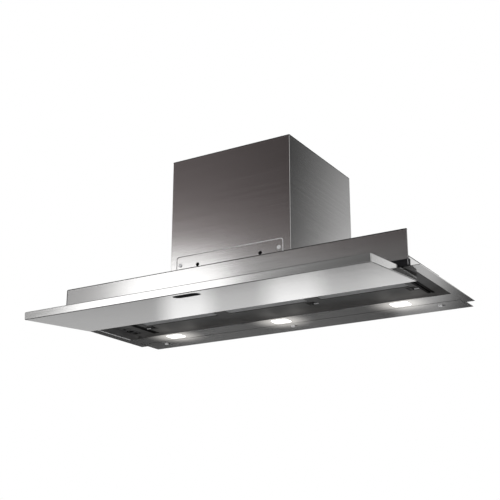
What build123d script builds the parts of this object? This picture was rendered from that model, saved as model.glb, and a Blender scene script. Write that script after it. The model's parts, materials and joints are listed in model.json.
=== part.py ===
from build123d import *
import os
from math import cos, radians, sin

os.makedirs("parts", exist_ok=True)

# Cabinet range hood with a pull-out visor, all sizes in millimetres.
# X runs along the hood, Y from the front to the wall, and Z up.
# Z = 0 is the underside of the cabinet flange, and X = Y = 0 is the middle of the cabinet screws.

# Sheet metal and gaps
sheet = 1.2
thin_sheet = 1.0
seam_gap = 0.4
fit_gap = 0.3
running_gap = 0.05
seat_gap = 0.02

# Base frame, the flat ring that shows from below
frame_half_width = 449.0
flange_width = 23.0
frame_front = -156.0
flange_rear = 157.0
opening_rear = 76.0
lamp_bar_width = 54.0
recess_height = 19.0
recess_rear = 128.0
side_screw_radius = 2.5
side_screw_spacing = 232.0
side_screw_height = 10.0

# Rear strip with its keyholes and screws
strip_rear = 202.0
strip_front_gap = 2.5
strip_side_gap = 2.0
strip_rear_step = 6.0
strip_screw_inset = 54.0
strip_screw_y = 157.0
strip_head_radius = 4.5
strip_head_height = 2.2
strip_shank_radius = 2.0
strip_shank_length = 5.0
keyhole_radius = 3.6
keyhole_offset = 8.5

# Lamps in the bar behind the recess
lamp_inset = 126.0
lamp_y = 99.5
lens_length = 42.0
lens_width = 35.0
lens_corner = 8.0
lens_proud = 0.6
lens_thickness = 2.2
lens_rim = 0.3
lamp_wall = 4.0
lamp_housing_height = 5.0

# Grease filters in the roof of the recess
filter_side_gap = 2.0
filter_front = -112.0
filter_rear = 114.0
filter_thickness = 9.0
filter_gap = 0.5
filter_border = 12.0
filter_rear_border = 72.0
mullion_width = 6.0
mesh_thickness = 5.0
mesh_pitch = 15.0
mesh_bar = 3.0
seat_overlap = 6.0

# Filter latches
latch_y = 60.0
latch_border = 3.0
latch_length = 13.0
latch_width = 20.0
latch_drop = 1.0
latch_rise = 7.0
latch_travel = 5.0
latch_clearance = 4.0
latch_wall = 2.4
tongue_width = 16.0
tongue_thickness = 2.4
tongue_rise = 3.3
tongue_reach = 3.6

# Visor, a flat tray that slides in its own tilted plane
visor_tilt = 4.71
visor_side_gap = 9.5
visor_depth = 220.0
visor_height = 16.5
visor_front = -311.0
visor_bottom = -30.7
visor_travel = 147.0
visor_corner = 2.0
visor_fold = 1.5
visor_lip = 0.8
cup_length = 64.0
cup_width = 27.0
cup_setback = 24.0
cup_depth = 12.5
cup_wall = 1.5
cup_rim = 3.0

# Slots, arms, rollers and rails that carry the visor
slot_inset = 57.5
slot_width = 12.0
slot_rear = 111.0
arm_thickness = 2.5
arm_front = 170.0
arm_neck_length = 56.0
arm_reach = 120.0
arm_foot_width = 16.0
arm_foot_length = 38.0
arm_foot_thickness = 2.0
axle_radius = 2.0
axle_inset = 10.0
roller_radius = 5.4
roller_width = 5.5
roller_gap = 0.4
rail_wall = 1.2
rail_width = 8.0
rail_lift = 38.0
rail_end = 2.5
slot_end = 2.0

# Fascia and the dark rail under it
fascia_inset = 2.0
fascia_height = 61.0
fascia_corner = 2.0
fascia_fold = 0.9
fascia_return = 10.0
rail_height = 13.0
fascia_rail_inset = 18.5
fascia_rail_depth = 8.0
fascia_rail_corner = 3.0
bracket_width = 20.0
bracket_leaf = 14.0
bracket_height = 40.0
bracket_inner_x = 120.0
bracket_inset = 36.0

# Plenum above the filters and the electrical tray behind it
slot_wall_gap = 1.5
plenum_front = -140.0
plenum_top = 66.0
tray_flange_lap = 3.0
air_half_width = 130.0
air_front = -110.0
air_rear = 90.0

# Blower box
box_half_width = 154.5
box_front = -131.0
box_rear = 169.0
box_top_z = 351.0
box_corner = 1.5

# Access cover on the front of the blower box
cover_half_width = 136.5
cover_bottom = 70.0
cover_top = 115.0
cover_corner = 6.0
cover_hole_x = 80.5
cover_hole_z = 91.0
cover_hole_radius = 4.5
cover_screw_x = 127.0
cover_screw_z = 95.5
cover_head_radius = 4.75
cover_head_height = 2.2
cover_shank_radius = 2.0
cover_shank_length = 5.0

# Outlet collar and backdraft flaps
collar_radius = 74.5
collar_wall = 2.0
collar_height = 36.0
collar_flange_radius = 88.0
collar_y = 19.0
flap_radius = 71.0
flap_thickness = 1.5
flap_lift = 8.0
flap_pin_radius = 1.5
flap_pin_offset = 5.0
flap_knuckle = 3.0
seat_ring_width = 3.5

# Blower
scroll_y = -19.0
scroll_z = 186.0
scroll_radius = 108.0
scroll_half_width = 88.0
scroll_wall = 2.0
scroll_outlet_width = 140.0
inlet_radius = 76.0
impeller_radius = 86.0
impeller_half_width = 70.0
blade_depth = 15.0
blade_thickness = 1.6
blade_count = 36
impeller_ring = 3.0
impeller_hub_radius = 14.0
impeller_hub_length = 24.0
motor_radius = 44.0
motor_front = -14.0
motor_length = 88.0
motor_rim = 4.4
motor_boss_radius = 16.0
motor_boss_length = 8.0
shaft_radius = 4.0
shaft_length = 84.0
spider_width = 16.0
spider_thickness = 3.0
spider_ring = 5.0
spider_reach = 92.0
spider_arms = 3
spider_turn = 30.0
capacitor_radius = 20.0
capacitor_length = 60.0
capacitor_rim = 2.5
capacitor_side_gap = 12.0
capacitor_rear_gap = 24.0

# Electrical pieces
electronics_screw_gap = 25.0
electronics_length = 150.0
electronics_width = 56.0
electronics_height = 44.0
electronics_wall = 2.0
driver_screw_gap = 50.0
driver_length = 120.0
driver_width = 44.0
driver_height = 24.0
driver_corner = 3.0
gland_x = -110.0
gland_z = 315.0
gland_radius = 11.0
gland_bore_radius = 4.2
gland_length = 20.0
gland_rim = 2.75
gland_thread_radius = 8.0
gland_nut_length = 6.0

# Controls on the left roof panel of the recess
control_inset = 14.0
control_y = 58.0
bezel_length = 68.0
bezel_width = 23.0
bezel_thickness = 1.4
bezel_corner = 6.0
knob_radius = 9.0
knob_drop = 2.7
knob_shaft_radius = 3.0
knob_shaft_length = 12.0
button_offset = 22.0
button_length = 10.0
button_width = 8.0
button_drop = 1.8
button_rise = 6.0
button_travel = 1.5
switch_height = 18.0
switch_width = 21.0

# Places worked out from the sizes above
opening_half_width = frame_half_width - flange_width
lamp_bar_rear = opening_rear + lamp_bar_width
strip_front_half_width = opening_half_width - strip_side_gap
strip_rear_half_width = strip_front_half_width + strip_rear_step
strip_screw_pitch = strip_front_half_width - strip_screw_inset
electronics_x = electronics_screw_gap + electronics_length / 2 - strip_screw_pitch
driver_x = strip_screw_pitch - driver_screw_gap - driver_length / 2
capacitor_x = capacitor_side_gap + capacitor_radius - box_half_width
capacitor_y = box_rear - capacitor_rear_gap - capacitor_radius
visor_half_width = opening_half_width - visor_side_gap
slot_x = opening_half_width - slot_inset
plenum_half_width = slot_x - slot_width / 2 - slot_wall_gap
tray_flange_half_width = opening_half_width + tray_flange_lap
filter_half_span = plenum_half_width - filter_side_gap
fascia_rail_half_width = frame_half_width - fascia_rail_inset
fascia_half_width = fascia_rail_half_width - fascia_inset
fascia_front = frame_front - fascia_rail_depth
bracket_outer_x = plenum_half_width - bracket_inset
bracket_xs = (-bracket_outer_x, -bracket_inner_x, bracket_inner_x, bracket_outer_x)
control_x = control_inset - opening_half_width
lamp_pitch = opening_half_width - lamp_inset
lamp_xs = {"left": -lamp_pitch, "middle": 0.0, "right": lamp_pitch}
deck_top = recess_height + thin_sheet
filter_top = recess_height + filter_thickness
filter_mid_y = (filter_front + filter_rear) / 2
filter_depth = filter_rear - filter_front
mullion_x = (filter_half_span - mullion_width) / 3 + mullion_width / 2
mullion_inner = mullion_x - mullion_width / 2
mullion_outer = mullion_x + mullion_width / 2
filter_bays = {
    "left": (-filter_half_span, -mullion_outer),
    "middle": (-mullion_inner, mullion_inner),
    "right": (mullion_outer, filter_half_span),
}
latch_room = latch_travel + latch_clearance
latch_sides = {"left": -1, "middle": 1, "right": 1}
strip_front = lamp_bar_rear + strip_front_gap
arm_inner = slot_x - arm_thickness / 2
arm_outer = slot_x + arm_thickness / 2
rail_inner = slot_x + slot_width / 2 + running_gap
rail_outer = rail_inner + rail_width
rail_bore = 2 * (roller_radius + roller_gap)
rail_tall = rail_bore + 2 * rail_wall
roller_lift = rail_lift + rail_tall / 2
axle_fronts = {"front": arm_front + axle_inset, "rear": arm_front + arm_reach - axle_inset}
roller_inner = rail_inner + fit_gap
fascia_top = rail_height + fascia_height
scroll_top = box_top_z - sheet - 2 * thin_sheet
scroll_outlet_rear = scroll_y + scroll_radius
scroll_outlet_mid = scroll_outlet_rear - scroll_outlet_width / 2
collar_base = box_top_z
flap_z = collar_base + flap_lift
switch_top = deck_top + switch_height

# The visor's plane: local Y is the way it slides in, local Z is square to its sheet
tilt_cos = cos(radians(visor_tilt))
tilt_sin = sin(radians(visor_tilt))
slide_plane = Plane(
    origin=(0, visor_front, visor_bottom),
    x_dir=(1, 0, 0),
    z_dir=(0, -tilt_sin, tilt_cos),
)
visor_up = Axis(slide_plane.origin, slide_plane.z_dir)


# Turns a place in the visor's plane into the hood's own Y and Z
def tilted(y, z):
    return (
        visor_front + y * tilt_cos - z * tilt_sin,
        visor_bottom + y * tilt_sin + z * tilt_cos,
    )


rail_y = (arm_front - rail_end, arm_front + arm_reach + visor_travel + rail_end)
slot_front = tilted(arm_front, rail_lift)[0] - slot_end


# A rectangular block between low and high corners, given axis by axis
def block(x, y, z, mode=Mode.ADD):
    with Locations(((x[0] + x[1]) / 2, (y[0] + y[1]) / 2, (z[0] + z[1]) / 2)):
        Box(abs(x[1] - x[0]), abs(y[1] - y[0]), abs(z[1] - z[0]), mode=mode)


# A rod along X from one X to another
def rod_x(radius, start, end, y, z, mode=Mode.ADD):
    with Locations(((start + end) / 2, y, z)):
        Cylinder(radius, abs(end - start), rotation=(0, 90, 0), mode=mode)


# A rod along Y from one Y to another
def rod_y(radius, x, start, end, z, mode=Mode.ADD):
    with Locations((x, (start + end) / 2, z)):
        Cylinder(radius, abs(end - start), rotation=(90, 0, 0), mode=mode)


# A rod along Z from one Z to another
def rod_z(radius, x, y, start, end, mode=Mode.ADD):
    with Locations((x, y, (start + end) / 2)):
        Cylinder(radius, abs(end - start), mode=mode)


# Names a finished piece and writes it
def save(piece, name):
    piece.part.label = name
    export_step(piece.part, f"parts/{name}.step")


# Base frame: two side flanges, the lamp bar and the side lips that carry the recess roof
with BuildPart() as base_frame:
    with BuildSketch():
        for side in (-1, 1):
            flange_x = side * (opening_half_width + flange_width / 2)
            with Locations((flange_x, (frame_front + flange_rear) / 2)):
                Rectangle(flange_width, flange_rear - frame_front)
        with Locations((0, (opening_rear + lamp_bar_rear) / 2)):
            Rectangle(2 * opening_half_width, lamp_bar_width)
        with Locations(*[(x, lamp_y) for x in lamp_xs.values()]):
            RectangleRounded(
                lens_length + 2 * fit_gap,
                lens_width + 2 * fit_gap,
                lens_corner,
                mode=Mode.SUBTRACT,
            )
    extrude(amount=sheet)
    for side in (-1, 1):
        lip = (side * opening_half_width, side * (opening_half_width + sheet))
        block(lip, (frame_front, recess_rear), (sheet, recess_height))
        for screw_y in (-side_screw_spacing / 2, side_screw_spacing / 2):
            rod_x(side_screw_radius, lip[0], lip[1], screw_y, side_screw_height, Mode.SUBTRACT)
save(base_frame, "base_frame")

# Recess roof: the deck with three filter bays, two visor slots and the control holes
with BuildPart() as recess_deck:
    with BuildSketch(Plane.XY.offset(recess_height)):
        with Locations((0, (frame_front + recess_rear) / 2)):
            Rectangle(2 * (opening_half_width + sheet), recess_rear - frame_front)
        for low, high in filter_bays.values():
            with Locations(((low + high) / 2, filter_mid_y)):
                Rectangle(high - low, filter_depth, mode=Mode.SUBTRACT)
        with Locations(*[(side * slot_x, (slot_front + slot_rear) / 2) for side in (-1, 1)]):
            Rectangle(slot_width, slot_rear - slot_front, mode=Mode.SUBTRACT)
        with Locations((control_x, control_y)):
            Circle(knob_shaft_radius + fit_gap, mode=Mode.SUBTRACT)
        with Locations(*[(control_x, control_y + side * button_offset) for side in (-1, 1)]):
            Rectangle(
                button_width + 2 * fit_gap,
                button_length + 2 * fit_gap,
                mode=Mode.SUBTRACT,
            )
    extrude(amount=thin_sheet)
    across = (-opening_half_width, opening_half_width)
    block(across, (frame_front, frame_front + thin_sheet), (sheet, recess_height))
    block(across, (recess_rear - thin_sheet, recess_rear), (sheet, recess_height))
    for side in (-1, 1):
        mullion = (side * mullion_inner, side * mullion_outer)
        block(mullion, (filter_front, filter_rear), (recess_height, filter_top))
    # Pocket in the right mullion for the middle filter's latch
    block(
        (mullion_inner, mullion_inner + tongue_reach + fit_gap),
        (latch_y - tongue_width / 2 - fit_gap, latch_y + tongue_width / 2 + fit_gap),
        (
            recess_height + tongue_rise - fit_gap,
            recess_height + tongue_rise + tongue_thickness + fit_gap,
        ),
        Mode.SUBTRACT,
    )
save(recess_deck, "recess_deck")

# Rear strip, stepped in at the sides in front of the flange ends, with a keyhole by each screw
strip_screw_xs = (-strip_screw_pitch, 0.0, strip_screw_pitch)
with BuildPart() as rear_strip:
    with BuildSketch():
        with Locations((0, (strip_front + strip_rear) / 2)):
            Rectangle(2 * strip_front_half_width, strip_rear - strip_front)
        with Locations((0, (flange_rear + seam_gap + strip_rear) / 2)):
            Rectangle(2 * strip_rear_half_width, strip_rear - flange_rear - seam_gap)
        with Locations(*[(x, strip_screw_y) for x in strip_screw_xs]):
            Circle(strip_shank_radius + fit_gap, mode=Mode.SUBTRACT)
        with Locations(*[(x + keyhole_offset, strip_screw_y) for x in strip_screw_xs]):
            Circle(keyhole_radius, mode=Mode.SUBTRACT)
    extrude(amount=sheet)
save(rear_strip, "rear_strip")

with BuildPart() as rear_strip_screws:
    for x in strip_screw_xs:
        rod_z(strip_shank_radius, x, strip_screw_y, 0, strip_shank_length)
        rod_z(strip_head_radius, x, strip_screw_y, -strip_head_height, 0)
save(rear_strip_screws, "rear_strip_screws")

# Electrical tray above the strip: floor, back, ends and the wall towards the filters
tray_front = recess_rear + fit_gap
tray_rear = strip_rear - thin_sheet
tray_floor = 2 * sheet
with BuildPart() as rear_tray:
    tray_half = tray_flange_half_width
    block((-tray_half, tray_half), (tray_front, tray_rear), (sheet, tray_floor))
    inner_half = plenum_half_width - thin_sheet
    tray_walls = (tray_floor, plenum_top - thin_sheet)
    for side in (-1, 1):
        end = (side * inner_half, side * plenum_half_width)
        block(end, (tray_front, tray_rear), tray_walls)
    across = (-plenum_half_width, plenum_half_width)
    block(across, (tray_front, tray_front + thin_sheet), tray_walls)
    block(across, (tray_rear - thin_sheet, tray_rear), tray_walls)
    for x in strip_screw_xs:
        rod_z(strip_shank_radius + fit_gap, x, strip_screw_y, sheet, tray_floor, Mode.SUBTRACT)
save(rear_tray, "rear_tray")

# Plenum: four walls round the filters and the seat that the filters press against
plenum_rear = recess_rear - thin_sheet
with BuildPart() as plenum:
    plenum_walls = (deck_top, plenum_top - thin_sheet)
    inner_half = plenum_half_width - thin_sheet
    for side in (-1, 1):
        wall = (side * inner_half, side * plenum_half_width)
        block(wall, (plenum_front, plenum_rear), plenum_walls)
    across = (-plenum_half_width, plenum_half_width)
    block(across, (plenum_front, plenum_front + thin_sheet), plenum_walls)
    block(across, (plenum_rear - thin_sheet, plenum_rear), plenum_walls)
    with BuildSketch(Plane.XY.offset(filter_top)):
        with Locations((0, (plenum_front + plenum_rear) / 2)):
            Rectangle(2 * inner_half, plenum_rear - plenum_front - 2 * thin_sheet)
        for low, high in filter_bays.values():
            with Locations(((low + high) / 2, filter_mid_y)):
                Rectangle(
                    high - low - 2 * seat_overlap,
                    filter_depth - 2 * seat_overlap,
                    mode=Mode.SUBTRACT,
                )
    extrude(amount=thin_sheet)
    # Slots in the end walls for the outer filters' latches
    for side in (-1, 1):
        block(
            (side * inner_half, side * plenum_half_width),
            (latch_y - tongue_width / 2 - fit_gap, latch_y + tongue_width / 2 + fit_gap),
            (
                recess_height + tongue_rise - fit_gap,
                recess_height + tongue_rise + tongue_thickness + fit_gap,
            ),
            Mode.SUBTRACT,
        )
save(plenum, "plenum")

# Plenum lid with the way into the blower box
with BuildPart() as plenum_lid:
    with BuildSketch(Plane.XY.offset(plenum_top - thin_sheet)):
        with Locations((0, (plenum_front + tray_rear) / 2)):
            Rectangle(2 * plenum_half_width, tray_rear - plenum_front)
        with Locations((0, (air_front + air_rear) / 2)):
            Rectangle(2 * air_half_width, air_rear - air_front, mode=Mode.SUBTRACT)
    extrude(amount=thin_sheet)
save(plenum_lid, "plenum_lid")

# Fascia plate with folded-back edges
with BuildPart() as fascia:
    with BuildSketch(Plane.XZ.offset(-fascia_front)):
        with Locations((0, (rail_height + fascia_top) / 2)):
            Rectangle(2 * fascia_half_width, fascia_height)
    extrude(amount=-sheet)
    top_corners = fascia.edges().filter_by(Axis.Y).group_by(Axis.Z)[-1]
    fillet(top_corners, fascia_corner)
    front_top = fascia.faces().sort_by(Axis.Y)[0].edges().sort_by(Axis.Z)[-1]
    fillet(front_top, fascia_fold)
    return_half = fascia_half_width - 2 * fascia_corner
    back = (fascia_front + sheet, fascia_front + sheet + fascia_return)
    block((-return_half, return_half), back, (fascia_top - sheet, fascia_top))
save(fascia, "fascia")

# Dark rail that closes the gap between the fascia and the visor
with BuildPart() as fascia_rail:
    block(
        (-fascia_rail_half_width, fascia_rail_half_width),
        (fascia_front, frame_front),
        (0, rail_height),
    )
    fillet(fascia_rail.edges().filter_by(Axis.Z), fascia_rail_corner)
save(fascia_rail, "fascia_rail")

# Z-shaped brackets from the plenum to the back of the fascia
with BuildPart() as fascia_brackets:
    for x in bracket_xs:
        span = (x - bracket_width / 2, x + bracket_width / 2)
        front_face = fascia_front + sheet
        block(span, (front_face, plenum_front), (bracket_height, bracket_height + sheet))
        leaf_up = (bracket_height + sheet, bracket_height + bracket_leaf)
        block(span, (front_face, front_face + sheet), leaf_up)
        leaf_down = (bracket_height - bracket_leaf, bracket_height)
        block(span, (plenum_front - sheet, plenum_front), leaf_down)
save(fascia_brackets, "fascia_brackets")

# Blower box: folded wrap, back panel and top panel
back_panel_front = box_rear - thin_sheet
with BuildPart() as box_wrap:
    block((-box_half_width, box_half_width), (box_front, back_panel_front), (plenum_top, box_top_z))
    front_edges = box_wrap.edges().filter_by(Axis.Z).group_by(Axis.Y)[0]
    fillet(front_edges, box_corner)
    inner_half = box_half_width - sheet
    inside = (plenum_top, box_top_z)
    block((-inner_half, inner_half), (box_front + sheet, back_panel_front), inside, Mode.SUBTRACT)
    for side in (-1, 1):
        wall = (box_front, box_front + sheet)
        rod_y(cover_hole_radius, side * cover_hole_x, *wall, cover_hole_z, Mode.SUBTRACT)
        shank = cover_shank_radius + fit_gap
        rod_y(shank, side * cover_screw_x, *wall, cover_screw_z, Mode.SUBTRACT)
save(box_wrap, "box_wrap")

with BuildPart() as box_back:
    block((-box_half_width, box_half_width), (back_panel_front, box_rear), (plenum_top, box_top_z))
    gland_hole = gland_thread_radius + seat_gap
    rod_y(gland_hole, gland_x, back_panel_front, box_rear, gland_z, Mode.SUBTRACT)
save(box_back, "box_back")

with BuildPart() as box_top:
    inner_half = box_half_width - sheet
    with BuildSketch(Plane.XY.offset(box_top_z - thin_sheet)):
        with Locations((0, (box_front + sheet + back_panel_front) / 2)):
            Rectangle(2 * inner_half, back_panel_front - box_front - sheet)
        with Locations((0, collar_y)):
            Circle(collar_radius - collar_wall, mode=Mode.SUBTRACT)
    extrude(amount=thin_sheet)
save(box_top, "box_top")

# Access cover with its two holes, and its two screws
with BuildPart() as access_cover:
    with BuildSketch(Plane.XZ.offset(-box_front)):
        with Locations((0, (cover_bottom + cover_top) / 2)):
            Rectangle(2 * cover_half_width, cover_top - cover_bottom)
        with Locations(*[(side * cover_hole_x, cover_hole_z) for side in (-1, 1)]):
            Circle(cover_hole_radius, mode=Mode.SUBTRACT)
        with Locations(*[(side * cover_screw_x, cover_screw_z) for side in (-1, 1)]):
            Circle(cover_shank_radius + fit_gap, mode=Mode.SUBTRACT)
    extrude(amount=sheet)
    fillet(access_cover.edges().filter_by(Axis.Y).group_by(Axis.Z)[-1], cover_corner)
save(access_cover, "access_cover")

cover_face = box_front - sheet
with BuildPart() as access_cover_screws:
    for side in (-1, 1):
        x = side * cover_screw_x
        rod_y(cover_head_radius, x, cover_face - cover_head_height, cover_face, cover_screw_z)
        rod_y(cover_shank_radius, x, cover_face, cover_face + cover_shank_length, cover_screw_z)
save(access_cover_screws, "access_cover_screws")

# Outlet collar with its flange and the ring that the flaps close on
collar_bore = collar_radius - collar_wall
with BuildPart() as outlet_collar:
    rod_z(collar_flange_radius, 0, collar_y, collar_base, collar_base + collar_wall)
    rod_z(collar_radius, 0, collar_y, collar_base, collar_base + collar_height)
    rod_z(collar_bore, 0, collar_y, collar_base, collar_base + collar_height, Mode.SUBTRACT)
    seat_low = flap_z - flap_thickness / 2 - fit_gap - collar_wall
    with Locations((0, collar_y, seat_low + collar_wall / 2)):
        Cylinder(collar_bore, collar_wall)
        Cylinder(collar_bore - seat_ring_width, collar_wall, mode=Mode.SUBTRACT)
    for side in (-1, 1):
        pin_y = collar_y + side * flap_pin_offset
        rod_x(flap_pin_radius, -collar_radius, collar_radius, pin_y, flap_z, Mode.SUBTRACT)
save(outlet_collar, "outlet_collar")

with BuildPart() as damper_pins:
    pin_half = collar_radius - collar_wall / 2
    for side in (-1, 1):
        pin_y = collar_y + side * flap_pin_offset
        rod_x(flap_pin_radius, -pin_half, pin_half, pin_y, flap_z)
save(damper_pins, "damper_pins")

# Two half-round flaps, each hanging on its own pin and lifted by the air
flap_half_length = flap_radius - flap_pin_offset
for name, side in {"front": -1, "rear": 1}.items():
    with BuildPart() as flap:
        pin_y = collar_y + side * flap_pin_offset
        rod_z(flap_radius, 0, collar_y, flap_z - flap_thickness / 2, flap_z + flap_thickness / 2)
        keep_out = collar_y - side * flap_radius
        tall = (flap_z - flap_knuckle, flap_z + flap_knuckle)
        block((-flap_radius, flap_radius), sorted((keep_out, pin_y)), tall, Mode.SUBTRACT)
        rod_x(flap_knuckle, -flap_half_length, flap_half_length, pin_y, flap_z)
        bore = flap_pin_radius + running_gap
        rod_x(bore, -flap_radius, flap_radius, pin_y, flap_z, Mode.SUBTRACT)
    save(flap, f"damper_flap_{name}")


# Side view of the blower's scroll, drawn smaller by an inset all round
def scroll_outline(inset):
    with Locations((scroll_y, scroll_z)):
        Circle(scroll_radius - inset)
    with Locations((scroll_outlet_mid, (scroll_z + scroll_top) / 2)):
        Rectangle(scroll_outlet_width - 2 * inset, scroll_top - scroll_z)


with BuildPart() as scroll_wrap:
    with BuildSketch(Plane.YZ.offset(-scroll_half_width)):
        scroll_outline(0)
        with BuildSketch(Plane.YZ.offset(-scroll_half_width), mode=Mode.SUBTRACT):
            scroll_outline(scroll_wall)
    extrude(amount=2 * scroll_half_width)
save(scroll_wrap, "scroll_wrap")

# Cheeks of the scroll with the two air inlets
for name, side in {"left": -1, "right": 1}.items():
    with BuildPart() as scroll_cheek:
        with BuildSketch(Plane.YZ.offset(side * scroll_half_width)):
            scroll_outline(0)
            with Locations((scroll_y, scroll_z)):
                Circle(inlet_radius, mode=Mode.SUBTRACT)
        extrude(amount=side * scroll_wall)
    save(scroll_cheek, f"scroll_cheek_{name}")

# Squirrel-cage impeller: disc, hub, end rings and blades
with BuildPart() as impeller:
    blade_ring = impeller_radius - blade_depth
    rod_x(impeller_radius, -impeller_ring / 2, impeller_ring / 2, scroll_y, scroll_z)
    rod_x(impeller_hub_radius, 0, impeller_hub_length, scroll_y, scroll_z)
    for side in (-1, 1):
        ring = (side * (impeller_half_width - impeller_ring), side * impeller_half_width)
        rod_x(impeller_radius, *ring, scroll_y, scroll_z)
        rod_x(blade_ring, *ring, scroll_y, scroll_z, Mode.SUBTRACT)
    with Locations(Plane(origin=(0, scroll_y, scroll_z), x_dir=(0, 1, 0), z_dir=(1, 0, 0))):
        with PolarLocations(impeller_radius - blade_depth / 2, blade_count):
            Box(blade_depth - 2 * fit_gap, blade_thickness, 2 * impeller_half_width - impeller_ring)
    hub_bore = shaft_radius + seat_gap
    rod_x(hub_bore, -impeller_ring, impeller_hub_length, scroll_y, scroll_z, Mode.SUBTRACT)
save(impeller, "impeller")

# Motor can with its bearing boss, inside the left half of the impeller
motor_rear = motor_front - motor_length
shaft_start = impeller_hub_length - shaft_length
with BuildPart() as motor:
    rod_x(motor_radius, motor_rear, motor_front, scroll_y, scroll_z)
    fillet(motor.edges().filter_by(GeomType.CIRCLE), motor_rim)
    rod_x(motor_boss_radius, motor_front, motor_front + motor_boss_length, scroll_y, scroll_z)
    bore_end = motor_front + motor_boss_length
    bore = shaft_radius + running_gap
    rod_x(bore, shaft_start - fit_gap, bore_end, scroll_y, scroll_z, Mode.SUBTRACT)
save(motor, "motor")

with BuildPart() as motor_shaft:
    rod_x(shaft_radius, shaft_start, impeller_hub_length, scroll_y, scroll_z)
save(motor_shaft, "motor_shaft")

# Three-armed spider that hangs the motor on the left cheek
cheek_face = -(scroll_half_width + scroll_wall)
spider_face = cheek_face - spider_thickness
with BuildPart() as motor_spider:
    rod_x(motor_radius + fit_gap + spider_ring, spider_face, cheek_face, scroll_y, scroll_z)
    with Locations(Plane(origin=(0, scroll_y, scroll_z), x_dir=(0, 1, 0), z_dir=(1, 0, 0))):
        with PolarLocations((motor_radius + spider_reach) / 2, spider_arms, start_angle=spider_turn):
            with Locations((0, 0, cheek_face - spider_thickness / 2)):
                Box(spider_reach - motor_radius, spider_width, spider_thickness)
    rod_x(motor_radius + fit_gap, spider_face, cheek_face, scroll_y, scroll_z, Mode.SUBTRACT)
save(motor_spider, "motor_spider")

with BuildPart() as capacitor:
    rod_z(capacitor_radius, capacitor_x, capacitor_y, plenum_top, plenum_top + capacitor_length)
    fillet(capacitor.edges().group_by(Axis.Z)[-1], capacitor_rim)
save(capacitor, "capacitor")

# Electronics box and lamp driver in the rear tray
tray_mid_y = (tray_front + tray_rear) / 2
with BuildPart() as electronics_box:
    half = electronics_length / 2
    box_x = (electronics_x - half, electronics_x + half)
    box_y = (tray_mid_y - electronics_width / 2, tray_mid_y + electronics_width / 2)
    block(box_x, box_y, (tray_floor, tray_floor + electronics_height))
    fillet(electronics_box.edges().filter_by(Axis.Z), electronics_wall)
    hollow_x = (box_x[0] + electronics_wall, box_x[1] - electronics_wall)
    hollow_y = (box_y[0] + electronics_wall, box_y[1] - electronics_wall)
    hollow_z = (tray_floor + electronics_wall, tray_floor + electronics_height - electronics_wall)
    block(hollow_x, hollow_y, hollow_z, Mode.SUBTRACT)
save(electronics_box, "electronics_box")

with BuildPart() as lamp_driver:
    half = driver_length / 2
    driver_y = (tray_mid_y - driver_width / 2, tray_mid_y + driver_width / 2)
    driver_z = (tray_floor, tray_floor + driver_height)
    block((driver_x - half, driver_x + half), driver_y, driver_z)
    fillet(lamp_driver.edges().filter_by(Axis.Z), driver_corner)
save(lamp_driver, "lamp_driver")

# Cable gland through the back panel, with its nut inside
with BuildPart() as cable_gland:
    rod_y(gland_radius, gland_x, box_rear, box_rear + gland_length, gland_z)
    fillet(cable_gland.edges().group_by(Axis.Y)[-1], gland_rim)
    nut_face = back_panel_front - gland_nut_length
    rod_y(gland_thread_radius, gland_x, nut_face, box_rear, gland_z)
    rod_y(gland_radius, gland_x, nut_face, back_panel_front, gland_z)
    rod_y(gland_bore_radius, gland_x, nut_face, box_rear + gland_length, gland_z, Mode.SUBTRACT)
save(cable_gland, "cable_gland")

# Lamps: a lens in the bar and a shallow housing above it
for name, x in lamp_xs.items():
    with BuildPart() as lamp_lens:
        with BuildSketch(Plane.XY.offset(-lens_proud)):
            with Locations((x, lamp_y)):
                RectangleRounded(lens_length, lens_width, lens_corner - fit_gap)
        extrude(amount=lens_thickness)
        fillet(lamp_lens.edges().group_by(Axis.Z)[0], lens_rim)
    save(lamp_lens, f"lamp_lens_{name}")

with BuildPart() as lamp_housings:
    with BuildSketch(Plane.XY.offset(sheet)):
        with Locations(*[(x, lamp_y) for x in lamp_xs.values()]):
            RectangleRounded(
                lens_length + 2 * lamp_wall,
                lens_width + 2 * lamp_wall,
                lens_corner + lamp_wall,
            )
    extrude(amount=lamp_housing_height)
    with BuildSketch(Plane.XY.offset(sheet)):
        with Locations(*[(x, lamp_y) for x in lamp_xs.values()]):
            RectangleRounded(lens_length + 2 * fit_gap, lens_width + 2 * fit_gap, lens_corner)
    extrude(amount=lamp_housing_height - thin_sheet, mode=Mode.SUBTRACT)
save(lamp_housings, "lamp_housings")

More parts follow.
